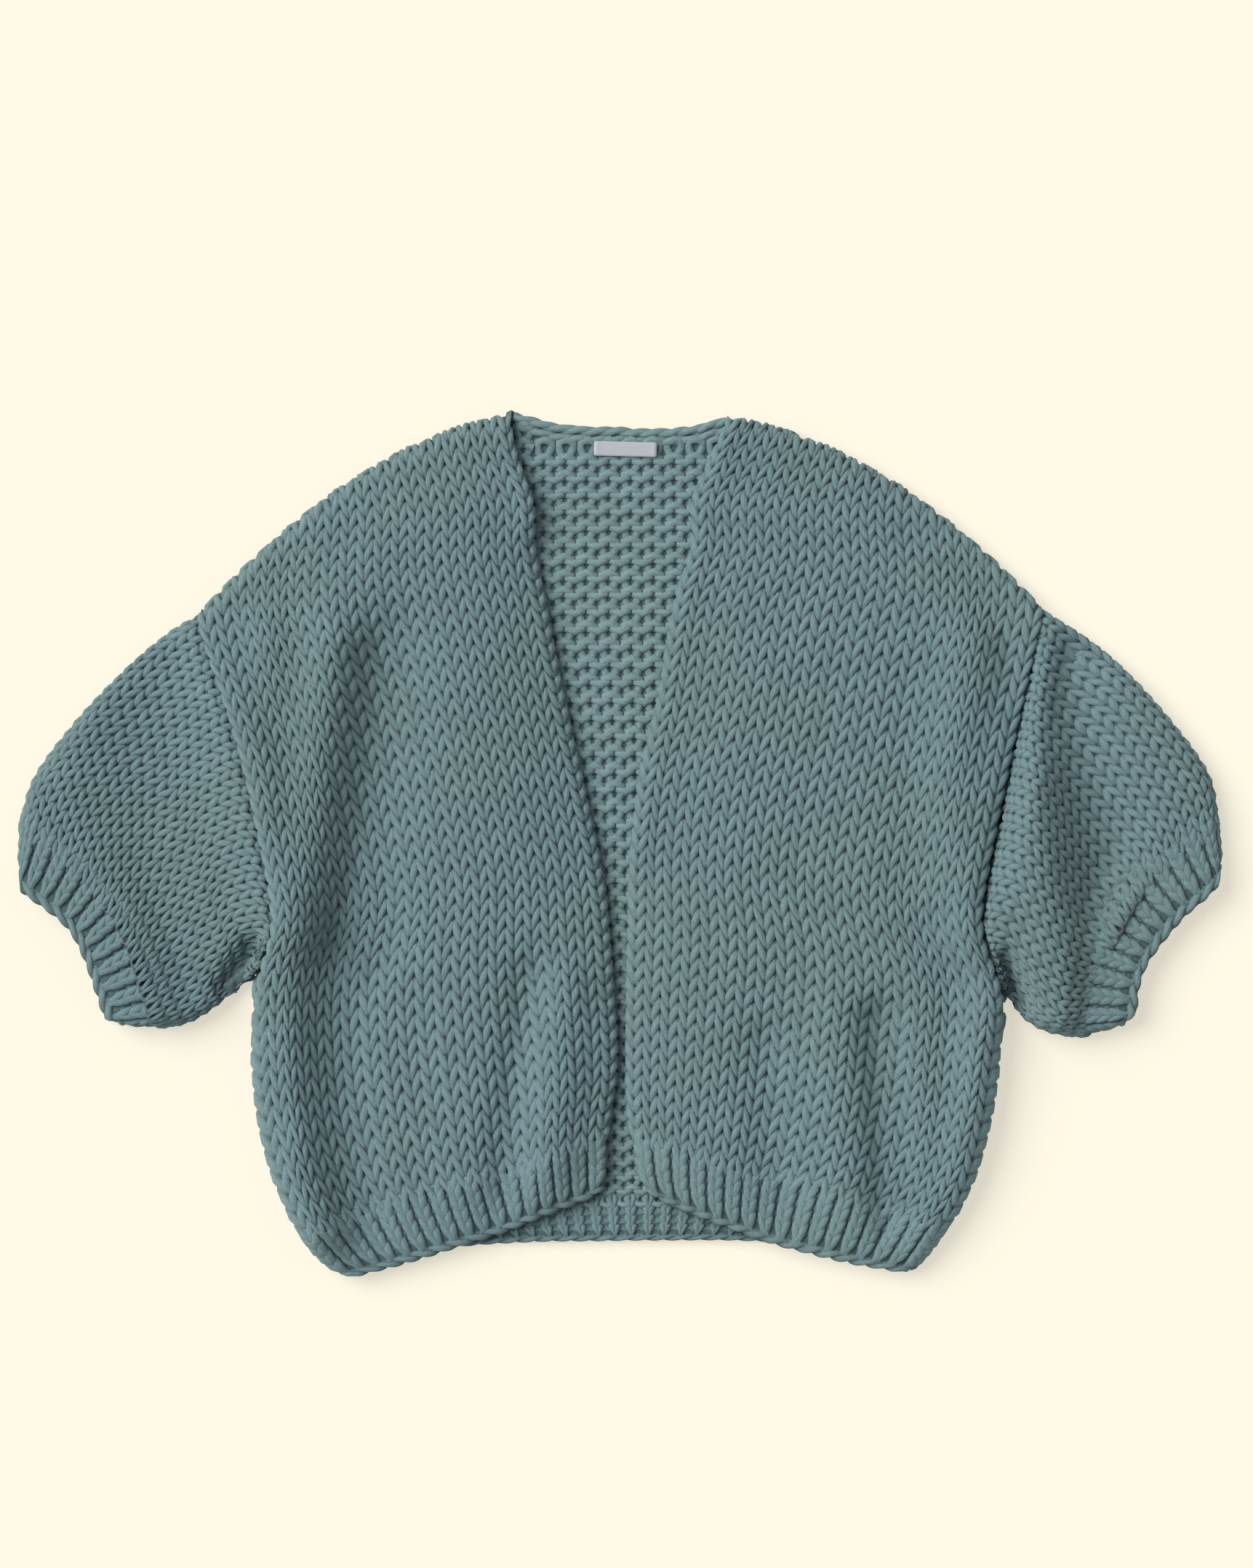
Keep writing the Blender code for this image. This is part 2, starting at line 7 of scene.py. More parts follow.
import bpy
import numpy as np
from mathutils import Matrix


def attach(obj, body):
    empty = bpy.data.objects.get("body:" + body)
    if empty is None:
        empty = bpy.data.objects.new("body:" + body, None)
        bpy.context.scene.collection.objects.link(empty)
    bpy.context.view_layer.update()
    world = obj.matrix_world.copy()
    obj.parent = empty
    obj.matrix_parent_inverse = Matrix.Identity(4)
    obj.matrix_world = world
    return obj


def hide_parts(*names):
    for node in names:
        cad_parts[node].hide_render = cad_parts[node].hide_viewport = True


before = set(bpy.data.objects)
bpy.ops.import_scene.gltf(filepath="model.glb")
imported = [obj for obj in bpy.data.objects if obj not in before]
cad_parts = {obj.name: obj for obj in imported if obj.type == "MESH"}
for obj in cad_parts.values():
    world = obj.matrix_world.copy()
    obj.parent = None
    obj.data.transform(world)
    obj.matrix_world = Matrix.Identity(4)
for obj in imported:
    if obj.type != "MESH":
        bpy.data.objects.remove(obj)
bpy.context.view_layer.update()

# Camera and view
# It hangs straight above the garment with a long lens, so that the cloth's thickness hardly leans
# outwards. The framing is that of the photograph, at 0.542 mm of cardigan to a pixel.
MM = .001
PIXEL = .542 * MM
PHOTO_HEIGHT = 2156 * PIXEL
VIEW_CENTRE = (4.6 * MM, 46.1 * MM, 15 * MM)
lens = bpy.data.cameras.new("camera")
lens.lens = 135
lens.sensor_width = 36
lens.clip_end = 60
camera = bpy.data.objects.new("camera", lens)
camera.location = (*VIEW_CENTRE[:2], VIEW_CENTRE[2] + PHOTO_HEIGHT * lens.lens / lens.sensor_width)
scene = bpy.context.scene
scene.collection.objects.link(camera)
scene.camera = camera
scene.view_settings.view_transform = "Standard"
scene.view_settings.look = "None"

# Floor and light
# A plain matt floor in warm off-white that also glows, so that it takes only a faint shadow, as in a
# cut-out photo. A large soft lamp beyond the left shoulder and an even glow from all round shade the
# folds softly, and only gaps in the knitting go dark, where shade is also painted into the wool.
FLOOR_HALF = 3e4  # half its width in millimetres, out to the horizon of a low view
FLOOR_LEVEL = -.5
FLOOR_GLOW = .6  # share of the floor's light that is its own


def linear(hex_colour):
    """Linear colour of an sRGB hex value."""
    srgb = np.array([int(hex_colour[k:k + 2], 16) for k in (0, 2, 4)]) / 255
    return (*np.where(srgb <= .04045, srgb / 12.92, ((srgb + .055) / 1.055) ** 2.4), 1.0)


def node(tree, kind, inputs=(), **settings):
    """Adds a node with its settings. Its inputs are given in order or by key, and each is a plain value,
    another node or one of its outputs."""
    made = tree.nodes.new(kind)
    for name, value in settings.items():
        setattr(made, name, value)
    for key, value in (inputs if isinstance(inputs, dict) else dict(enumerate(inputs))).items():
        if isinstance(value, bpy.types.Node):
            value = value.outputs[0]
        if isinstance(value, bpy.types.NodeSocket):
            tree.links.new(value, made.inputs[key])
        else:
            made.inputs[key].default_value = value
    return made


def empty_material(name):
    """A material with an empty tree but its output, and the tree."""
    made = bpy.data.materials.new(name)
    made.use_nodes = True
    tree = made.node_tree
    tree.nodes.clear()
    return made, tree, tree.nodes.new("ShaderNodeOutputMaterial")


def new_piece(name, points, edges=(), faces=()):
    """A mesh object at the origin, from points in millimetres."""
    mesh = bpy.data.meshes.new(name)
    mesh.from_pydata((np.asarray(points) * MM).tolist(), edges, faces)
    piece = bpy.data.objects.new(name, mesh)
    scene.collection.objects.link(piece)
    return piece


paper, tree, output = empty_material("matt_off_white_floor")
coat = node(tree, "ShaderNodeBsdfDiffuse", {"Color": linear("FCF6E7")})
glow = node(tree, "ShaderNodeEmission", {"Color": linear("FFF9E7")})
mixed = node(tree, "ShaderNodeMixShader", {0: FLOOR_GLOW, 1: coat, 2: glow})
tree.links.new(mixed.outputs[0], output.inputs["Surface"])
corners = [(x * FLOOR_HALF, y * FLOOR_HALF, FLOOR_LEVEL) for x, y in ((-1, -1), (1, -1), (1, 1), (-1, 1))]
floor = new_piece("floor", corners, faces=[(0, 1, 2, 3)])
floor.data.materials.append(paper)

world = bpy.data.worlds.new("studio")
world.use_nodes = True
background = world.node_tree.nodes["Background"].inputs
background["Color"].default_value = linear("FFFEFC")
background["Strength"].default_value = .34
scene.world = world
key = bpy.data.lights.new("window", "SUN")
key.energy = 3.2
key.angle = np.radians(45)
key.color = linear("FFFDF8")[:3]
stand = bpy.data.objects.new("window", key)
stand.rotation_euler = (np.radians(-20), np.radians(-41), 0)
scene.collection.objects.link(stand)

# Fronts
# Two mirrored panels in stocking stitch, knitted from the hem up in thick plied wool. Their free
# edges and the folds at the side and shoulder roll over by themselves, as such knitting does.
LAID_TOP = 18.3  # top of a front that lies on the back
CROWN, CROWN_REACH = 10.0, 60.0
HIGHEST_FOLD = 48.0  # the higher a fold, the more it sinks, and none gets above this
# The cloth is pushed up into a ridge at the armholes: its height by the distance up the garment
RIDGE_AT = [-300, -200, -150, -95, 0, 110, 172]
RIDGE = {"left": [8, 13, 16, 24, 28, 22, 5], "right": [10, 16, 18, 16, 10, 6, 2]}
YARN_REACH = 5.0  # from the middle of the cloth to the outside of its yarn
ROLL = 4.4  # radius at which the middle of the cloth rolls over an edge
ROLL_OUTSIDE = ROLL + YARN_REACH
EDGE_START = ROLL_OUTSIDE - ROLL * np.pi / 2  # where the cloth stands upright at a rolled edge
RIDGE_WIDTH = 18.0
RIDGE_INSIDE, RIDGE_LOWER = 8.0, 11.0  # from the armhole seam to the ridge, and how much more at the side
HEM_DEPTH, HEM_WAVE = 42.0, 4.0
CAST_OFF_PART = 6  # a rib is this many times as deep as its cast-off edge
RUN_ON = 14.0  # a course's distance past the ends of the outline
SEAM_GAP, SEAM_DEPTH, SEAM_WIDTH = .3, 3.0, 7.0
SHOULDER_BOW, SHOULDER_SKEW = 22.5, .22
ON_FLOOR = .1  # the lowest that any yarn lies
SAMPLES = 6  # places a stitch at which the laid shape is worked out
UNDERARM_FADE = 5  # courses over which the fold at the side becomes the seam at the armhole
BEHIND_SHOULDER, SHORT_OF_NECK = -5, 2  # where a front's ground ends, as a distance inside its top fold
FIRST_COURSE = -1  # where the laid shape starts, to leave room for the loops of the first course
SHOULDER_START = -2.0  # how near the shoulder fold the last loops are anchored
# How high up the free edge the underarm's course ends, how far above the armhole's top its own course
# ends, and how far the last course runs past the neck
EDGE_AT_UNDERARM, EDGE_ABOVE_ARM, EDGE_PAST_NECK = -50.0, 28.0, 4.0
FRONT_WALES = 21
# Widths of the wales from the side to the free edge, at courses from the hem to the shoulder
WALE_WIDTHS = {
    3: [20, 19, 18, 18, 20, 23, 25, 26, 26, 26, 26, 26, 26, 25, 25, 24, 24, 23, 23, 22, 20],
    17: [25, 23, 19, 18, 19, 21, 25, 26, 26, 26, 26, 26, 26, 26, 26, 25, 25, 25, 25, 24, 22],
    37: [26, 24, 21, 19, 18, 19, 21, 25, 26, 26, 26, 25, 25, 24, 24, 23, 23, 22, 22, 21, 20],
    49: [22, 21, 21, 21, 21, 22, 22, 22, 22, 22, 22, 23, 23, 23, 23, 23, 23, 23, 22, 21, 20]}
# Courses counted from the hem: the end of the cast-off edge, the top of the rib, the underarm,
# the end of the shoulder and the neck
RIB_START, RIB_END, UNDERARM, ARM_TOP, LAST_COURSE = MARKS = .5, 3.5, 17.5, 38.3, 49.0
TOP_COURSE = 12.5  # distance of the courses above the armhole

OUTLINE = {
    "left": {
        "armhole": [(-271.5, -95), (-267, -84), (-262.5, -73), (-258, -62), (-260.5, -45), (-266, -18),
                    (-271.5, 9), (-277, 37), (-284, 65), (-292, 92), (-301.5, 119.5), (-310.5, 145),
                    (-318, 171.5)],
        "side": [(-204, -324.5), (-222, -312), (-239, -291), (-252, -269), (-261, -248), (-272.5, -204),
                 (-277, -150), (-276, -125), (-271.5, -95)],
        "edge_low": [(-12, -260), (-7.5, -244), (-6, -205), (-1, -172), (-.5, -141), (-3.3, -100),
                     (-7.6, -47), (-14, -5)],
        "edge_high": [(-14, -5), (-27.6, 57.5), (-39.6, 111), (-54.7, 187.5), (-61.5, 225), (-62.5, 254),
                      (-69, 274), (-77, 298), (-81.3, 325)],
        "sag": 4.5},
    "right": {
        "armhole": [(288.3, -111.5), (281.7, -95.3), (275.1, -79.2), (268.5, -63), (271.5, -40),
                    (276.3, -15), (281.8, 12), (287.5, 40), (293.2, 68), (299, 96), (304.6, 121),
                    (310.5, 147), (317.7, 176.5)],
        "side": [(213, -320.5), (226, -311), (241.2, -291), (256.4, -269.4), (266.7, -247.7), (278.6, -204),
                 (283.5, -170), (287, -135), (288.3, -111.5)],
        "edge_low": [(20, -261.5), (9.8, -244), (5.4, -218), (2.7, -185), (2.4, -159), (2.4, -106), (4, -47),
                     (5.5, -5)],
        "edge_high": [(5.5, -5), (12, 53), (26, 111), (36.9, 177), (51, 225), (51, 256), (61, 281),
                      (80.8, 322.5)],
        "sag": 8.0}}
# Ridges and troughs: three points along each, half its width and its height
FRONT_FOLDS = {
    "left": [(-214, 150, -229, 20, -240, -60, 23, 22), (-240, -60, -244, -160, -226, -290, 21, 14),
             (-172, 150, -184, 40, -193, -60, 30, -12), (-193, -60, -204, -157, -186, -290, 27, -11),
             (-66, -95, -80, -190, -86, -275, 16, -10), (-40, -100, -46, -190, -54, -262, 18, 8),
             (-262, 165, -262, 100, -258, 30, 18, 9), (-251, -75, -256, -140, -249, -215, 8, -6),
             (-120, 120, -105, 0, -118, -100, 34, 3), (-77, 312, -68, 285, -66, 240, 12, 7),
             (-152, -120, -150, -200, -140, -280, 20, -4)],
    "right": [(262, 150, 250, 40, 250, -70, 22, 12), (222, 120, 216, 20, 226, -80, 22, -4),
              (236, -60, 246, -150, 234, -262, 14, -5),
              (196, -130, 200, -205, 204, -285, 17, -14), (162, -120, 164, -200, 168, -285, 20, 6),
              (108, -150, 112, -205, 120, -285, 20, -8), (110, 130, 95, 20, 80, -110, 34, 3),
              (240, 235, 285, 190, 314, 120, 36, -8), (76, 310, 38, 140, 14, -5, 15, 5)]}


def smooth(rows, count=200):
    """Points evenly spaced along a smooth curve through the rows."""
    points = np.array(rows, float)
    ends = np.vstack([2 * points[0] - points[1], points, 2 * points[-1] - points[-2]])
    fine = []
    for a, b, c, d in zip(ends, ends[1:], ends[2:], ends[3:]):
        for t in np.linspace(0, 1, 12, endpoint=False):
            fine.append(.5 * (2 * b + (c - a) * t + (2 * a - 5 * b + 4 * c - d) * t ** 2
                              + (3 * b - a - 3 * c + d) * t ** 3))
    fine.append(points[-1])
    return along(np.array(fine), np.linspace(0, 1, count))


def reach(line):
    """Distance of each point of a line from its start."""
    return np.concatenate([[0], np.cumsum(np.linalg.norm(np.diff(line, axis=0), axis=1))])


def between(x, known, rows):
    """Rows interpolated at x, from those known."""
    return np.stack([np.interp(x, known, column) for column in rows.T], axis=-1)


def at_distance(line, distance):
    """Points of a line at the given distances from its start, run on straight past both its ends."""
    far = reach(line)
    inside = np.clip(distance, 0, far[-1])
    point = between(inside, far, line)
    past = (np.asarray(distance) - inside)[..., None]
    last = (line[-1] - line[-2]) / (far[-1] - far[-2])
    first = (line[1] - line[0]) / far[1]
    return point + np.where(past > 0, last, first) * past


def along(line, fractions):
    return at_distance(line, np.asarray(fractions) * reach(line)[-1])


def fold_height(folds, x, y):
    """Height that all the folds together add at each place."""
    total = np.zeros(np.shape(x))
    for fold in folds:
        start, middle, end = np.array(fold[:6]).reshape(3, 2)
        nearest = np.full(np.shape(x), np.inf)
        for t in np.linspace(0, 1, 25):
            px, py = (1 - t) ** 2 * start + 2 * t * (1 - t) * (2 * middle - (start + end) / 2) + t ** 2 * end
            nearest = np.minimum(nearest, np.hypot(x - px, y - py))
        total += fold[7] * np.exp(-(nearest / fold[6]) ** 2)
    return total


def round_over(distance, over):
    """0 at an edge, rising as a quarter circle to 1 at the given distance."""
    return np.sqrt(1 - np.clip(1 - distance / over, 0, 1) ** 2)


def beyond(x, y, line):
    """Distance inside a line, which has the cloth on its right, and the way from the line into the cloth."""
    best = np.full(np.shape(x), np.inf)
    signed = np.zeros(np.shape(x))
    inward = np.zeros((*np.shape(x), 2))
    for (ax, ay), (bx, by) in zip(line, line[1:]):
        length = np.hypot(bx - ax, by - ay)
        tx, ty = (bx - ax) / length, (by - ay) / length
        share = np.clip((x - ax) * tx + (y - ay) * ty, 0, length)
        away = np.hypot(x - ax - share * tx, y - ay - share * ty)
        near = away < best
        best = np.where(near, away, best)
        signed = np.where(near, (x - ax) * ty - (y - ay) * tx, signed)
        inward[near] = (ty, -tx)
    return np.where(signed < 0, -best, best), inward


def rolled(distance):
    """Inward move and drop of the cloth's outside at a distance along it from a rolled edge,
    where it turns down by a quarter circle and then goes straight down."""
    angle = np.clip((ROLL_OUTSIDE - distance) / ROLL, 0, np.pi / 2)
    inwards = ROLL_OUTSIDE * (1 - np.sin(angle)) - np.minimum(distance, ROLL_OUTSIDE)
    return inwards, ROLL_OUTSIDE * (1 - np.cos(angle)) + np.maximum(EDGE_START - distance, 0)


def below_arm(j):
    """1 at the courses where front and back fold into each other, falling to 0 just above the underarm."""
    return np.clip((UNDERARM + 1 - j) / UNDERARM_FADE, 0, 1) ** 2


def side_rail(half):
    """Places on the side seam and armhole for each course, run on past the shoulder."""
    side, arm = smooth(half["side"]), np.array(half["armhole"], float)
    low, high = reach(side)[-1], reach(arm)[-1]
    line = np.vstack([side, arm[1:]])
    line = np.vstack([line, arm[-1] + np.array([.12 * np.sign(-arm[-1][0]), 1]) * 400])
    places = [0, HEM_DEPTH / CAST_OFF_PART, HEM_DEPTH, low, low + high,
              low + high + (LAST_COURSE - ARM_TOP) * TOP_COURSE]
    fine = np.arange(-2, LAST_COURSE + 4, .125)
    rail = at_distance(line, np.interp(fine, [0, *MARKS], places) + np.minimum(fine, 0) * RUN_ON
                       + np.maximum(fine - LAST_COURSE, 0) * TOP_COURSE)
    # The corner at the underarm is rounded over a few courses
    bell = np.exp(-(np.arange(-20, 21) / 11.0) ** 2)
    bell /= bell.sum()
    padded = np.pad(rail, ((20, 20), (0, 0)), mode="edge")
    rounded = np.stack([np.convolve(column, bell, "valid") for column in padded.T], axis=1)
    rounded = np.where((fine > RIB_END + 2)[:, None] & (fine < LAST_COURSE)[:, None], rounded, rail)
    return lambda j: between(j, fine, rounded)


def edge_rail(half):
    """Places on a front's free edge for each course."""
    low, high = smooth(half["edge_low"]), smooth(half["edge_high"])
    line = np.vstack([low, high[1:]])
    depth = HEM_DEPTH * reach(low)[-1] / reach(smooth(half["side"]))[-1]
    far = reach(line)
    levels = [EDGE_AT_UNDERARM, half["armhole"][-1][1] + EDGE_ABOVE_ARM]
    at_underarm, at_arm_top = np.interp(levels, line[:, 1], far)
    places = [0, depth / CAST_OFF_PART, depth, at_underarm, at_arm_top, far[-1] + EDGE_PAST_NECK]
    return lambda j: at_distance(line, np.interp(j, [0, *MARKS], places) + np.minimum(j, 0) * RUN_ON)


def shoulder_line(half):
    """Shoulder fold from the armhole to the neck, a shallow arc that is fuller at the neck, with straight
    runs past both its ends."""
    start, end = np.array([half["armhole"][-1], half["edge_high"][-1]], float)
    u = np.linspace(0, 1, 25)[:, None]
    direction = (end - start) / np.linalg.norm(end - start)
    outwards = np.array([-direction[1], direction[0]]) * np.sign(direction[0])
    bow = SHOULDER_BOW * 4 * u * (1 - u) * (1 + SHOULDER_SKEW * (2 * u - 1))
    line = start + (end - start) * u + outwards * bow
    # The steps of the line are about 9 mm long, and the straight runs about 40 mm
    before, after = line[0] - line[1], line[-1] - line[-2]
    return np.vstack([line[0] + 40 * before / 9, line, line[-1] + 40 * after / 9])


def inset_at(j):
    """Distance of the first loop from the side: it lies on the seam, or where the fold turns down."""
    return SEAM_GAP + (EDGE_START - SEAM_GAP) * below_arm(j)


def row_places(start, end, u, j, last_inset):
    """Places at shares u of a panel's rows, the way along each, the distances from its two ends, and how
    much the cloth folds over at the side."""
    width = np.linalg.norm(end - start, axis=-1)
    direction = (end - start) / width[..., None]
    from_start = inset_at(j) + (width - inset_at(j) - last_inset) * u
    place = start + direction * from_start[..., None]
    return place, direction, from_start, width - from_start, below_arm(j)


def front_surface(name):
    """Where the outside of a front lies, by the share of its width from the side and the course from
    the hem; the share at each wale; and the distance of each from the shoulder fold."""
    half = OUTLINE[name]
    side, edge = side_rail(half), edge_rail(half)
    fold_line = shoulder_line(half) if name == "left" else shoulder_line(half)[::-1]
    levels = sorted(WALE_WIDTHS)
    shares = [np.concatenate([[0], np.cumsum(WALE_WIDTHS[level])]) / sum(WALE_WIDTHS[level])
              for level in levels]

    def share(i, j):
        """How far across its row a wale lies."""
        total = 0
        for n, level in enumerate(levels):
            weight = np.interp(j, levels, np.eye(len(levels))[n])
            total = total + weight * np.interp(i, np.arange(FRONT_WALES + 1), shares[n])
        return total + np.where(i < 0, i, np.maximum(i - FRONT_WALES, 0)) / 24

    def surface(u, j):
        start = side(j)
        place, direction, from_side, from_edge, low = row_places(start, edge(j), u, j, EDGE_START)
        hem = np.clip(1 - j / RIB_END, 0, 1)
        near_hem = np.clip(1 - j / 12, 0, 1) * np.clip(j / RIB_END, 0, 1)
        place[..., 1] += HEM_WAVE * near_hem * np.sin(2 * np.pi * u) - half["sag"] * hem * 4 * u * (1 - u)
        from_top, inward = beyond(place[..., 0], place[..., 1], fold_line)
        rise = np.sin(np.pi / 2 * np.clip(np.minimum(from_side, from_edge) / CROWN_REACH, 0, 1))
        height = CROWN * rise * np.clip(from_top / CROWN_REACH, 0, 1)
        height = np.maximum(height + fold_height(FRONT_FOLDS[name], place[..., 0], place[..., 1]), 0)
        inside = from_side - RIDGE_INSIDE - RIDGE_LOWER * np.clip((UNDERARM + 1 - j) / 4, 0, 1)
        ridge = np.interp(start[..., 1], RIDGE_AT, RIDGE[name]) * np.exp(-(inside / RIDGE_WIDTH) ** 2)
        height = HIGHEST_FOLD * np.tanh((height + ridge) * (1 - hem) / HIGHEST_FOLD)
        seam = (1 - low) * SEAM_DEPTH * (1 - round_over(from_side, SEAM_WIDTH))
        move_side, drop_side = rolled(from_side)
        move_edge, drop_edge = rolled(from_edge)
        move_top, drop_top = rolled(from_top)
        place = place + direction * (move_side * low - move_edge)[..., None] + inward * move_top[..., None]
        top = LAID_TOP + height - seam - drop_side * low - drop_edge - drop_top
        return np.concatenate([place, top[..., None]], axis=-1)

    return surface, share, lambda i, j: beyond(
        *np.moveaxis(side(j) + (edge(j) - side(j)) * share(i, j)[..., None], -1, 0), fold_line)[0]


def fabric_of(grid, first_wale, turned, reach_out=YARN_REACH):
    """Knitting as it lies: the outside of its knit face over wales and courses, and the way it faces."""
    facing = np.cross(np.gradient(grid, axis=1), np.gradient(grid, axis=0)) * turned
    facing /= np.maximum(np.linalg.norm(facing, axis=2, keepdims=True), 1e-9)
    return {"grid": grid, "facing": facing, "first": first_wale, "turned": turned, "reach": reach_out}


def laid(fabric, wale, course, height=0.0):
    """Places at a height from the middle of the yarn, positive towards the knit face."""
    rows, columns = fabric["grid"].shape[:2]
    a = np.clip((wale - fabric["first"]) * SAMPLES, 0, columns - 1.001)
    b = np.clip((course - FIRST_COURSE) * SAMPLES, 0, rows - 1.001)
    ia, ib = a.astype(int), b.astype(int)
    fa, fb = (a - ia)[..., None], (b - ib)[..., None]

    def mixed(values):
        low = values[ib, ia] * (1 - fa) + values[ib, ia + 1] * fa
        high = values[ib + 1, ia] * (1 - fa) + values[ib + 1, ia + 1] * fa
        return low * (1 - fb) + high * fb

    place = mixed(fabric["grid"]) + mixed(fabric["facing"]) * np.asarray(height - fabric["reach"])[..., None]
    place[..., 2] = np.maximum(place[..., 2], ON_FLOOR)
    return place


def sampled(surface, wales, last_course, turned, reach_out=YARN_REACH):
    """Fabric over all its wales and up to a course, with a little to spare all round."""
    i = np.arange(-.5, wales + .5 + .5 / SAMPLES, 1 / SAMPLES)
    j = np.arange(FIRST_COURSE, last_course + 1.5 + .5 / SAMPLES, 1 / SAMPLES)
    return fabric_of(surface(*np.meshgrid(i, j)), -.5, turned, reach_out)


def last_courses(inside, wales, last, room):
    """The last course of each wale that still is the given distance inside the edge."""
    fine = np.linspace(RIB_END, last, 400)
    return np.array([fine[inside(wale, fine) > least].max()
                     for wale, least in zip(wales, np.broadcast_to(room, wales.shape))])


# One stitch: how far a loop stands up and down from its course, how far it bulges to its sides, and
# how far it goes to the front and to the back, all at the stitch's own size as it comes off the needles
STITCH = {"wale": 14.0, "course": 12.4, "Loop height": 10.8, "Loop bulge": 4.3, "Loop depth": 2.0,
          "Rib lift": 0.0, "Yarn radius": 3.3, "Leg swell": .10, "Unevenness": .8}
TURN_OUT = 1.5  # how far the yarn goes past the last loop where it turns back


MATH, VECTOR_MATH = "ShaderNodeMath", "ShaderNodeVectorMath"
NAMED, STORE = "GeometryNodeInputNamedAttribute", "GeometryNodeStoreNamedAttribute"


def yarn_tree(name, measures):
    """A node tree for yarn with its sockets, and what is given to it."""
    tree = bpy.data.node_groups.new(name, "GeometryNodeTree")
    kinds = [("Geometry", "Geometry"), *((measure, "Float") for measure in measures), ("Sides", "Int"),
             ("Wool", "Material")]
    for socket, kind in kinds:
        tree.interface.new_socket(socket, in_out="INPUT", socket_type=f"NodeSocket{kind}")
    tree.interface.new_socket("Geometry", in_out="OUTPUT", socket_type="NodeSocketGeometry")
    return tree, node(tree, "NodeGroupInput").outputs


def spun(tree, given, path, girth=None):
    """Makes the path a tube of yarn, which keeps the place along and round the strand for its wool."""
    strand = node(tree, "GeometryNodeMeshToCurve", {"Mesh": path})
    length = node(tree, "GeometryNodeSplineParameter").outputs["Length"]
    strand = node(tree, STORE, {"Geometry": strand, "Name": "strand", "Value": length})
    if girth:
        radius = node(tree, NAMED, {"Name": girth})
        strand = node(tree, "GeometryNodeSetCurveRadius", {"Curve": strand, "Radius": radius})
    circle = node(tree, "GeometryNodeCurvePrimitiveCircle",
                  {"Resolution": given["Sides"], "Radius": given["Yarn radius"]})
    place = node(tree, VECTOR_MATH, [node(tree, "GeometryNodeInputPosition")], operation="NORMALIZE")
    ring = node(tree, STORE, {"Name": "round", "Geometry": circle, "Value": place}, data_type="FLOAT_VECTOR")
    tube = node(tree, "GeometryNodeCurveToMesh", {"Curve": strand, "Profile Curve": ring, "Fill Caps": True})
    tube = node(tree, "GeometryNodeSetShadeSmooth", {"Geometry": tube})
    tube = node(tree, "GeometryNodeRealizeInstances", {"Geometry": tube})
    tube = node(tree, "GeometryNodeSetMaterial", {"Geometry": tube, "Material": given["Wool"]})
    node(tree, "NodeGroupOutput", {"Geometry": tube})
    return tree


def knitting_tree():
    """Bends each course into stitches, then makes it a tube of yarn."""
    tree, given = yarn_tree("knitted_yarn", ("Loop height", "Loop bulge", "Loop depth", "Rib lift",
                                             "Yarn radius", "Leg swell", "Unevenness"))
    wale, face, loop = (node(tree, NAMED, {"Name": name}) for name in ("wale", "face", "loop"))
    turn = node(tree, MATH, [wale, 2 * np.pi], operation="MULTIPLY")
    double = node(tree, MATH, [turn, 2.0], operation="MULTIPLY")
    up, swing, to_side = (node(tree, MATH, [angle], operation=wave)
                          for angle, wave in ((turn, "COSINE"), (double, "COSINE"), (double, "SINE")))
    depth = node(tree, MATH, [swing, given["Loop depth"]], operation="MULTIPLY")
    out = node(tree, MATH, [given["Rib lift"], depth], operation="SUBTRACT")
    # Each way gets its size, and no loops where the yarn turns back
    ways = []
    for way, size in ((to_side, given["Loop bulge"]), (up, given["Loop height"]), (out, face),
                      (swing, given["Leg swell"])):
        sized = node(tree, MATH, [way, size], operation="MULTIPLY")
        ways.append(node(tree, MATH, [sized, loop], operation="MULTIPLY"))
    *bend, swell = ways
    # No two stitches are quite alike: the strand wanders and is thinner and thicker by turns
    noise = node(tree, "ShaderNodeTexNoise", {"Scale": 55.0, "Detail": 1.0}, noise_dimensions="3D")
    wander = node(tree, VECTOR_MATH, [noise.outputs["Color"], (.5, .5, .5)], operation="SUBTRACT")
    wander = node(tree, VECTOR_MATH, {0: wander, "Scale": given["Unevenness"]}, operation="SCALE")
    bend = node(tree, VECTOR_MATH, [node(tree, "ShaderNodeCombineXYZ", bend), wander], operation="ADD")
    girth = node(tree, MATH, [1.0, swell], operation="SUBTRACT")
    uneven = node(tree, MATH, [noise.outputs["Fac"], .3, .85], operation="MULTIPLY_ADD")
    girth = node(tree, MATH, [girth, uneven], operation="MULTIPLY")
    path = node(tree, STORE, {"Geometry": given["Geometry"], "Name": "girth", "Value": girth})
    path = node(tree, "GeometryNodeSetPosition", {"Geometry": path, "Offset": bend})
    return spun(tree, given, path, "girth")


KNITTING = knitting_tree()


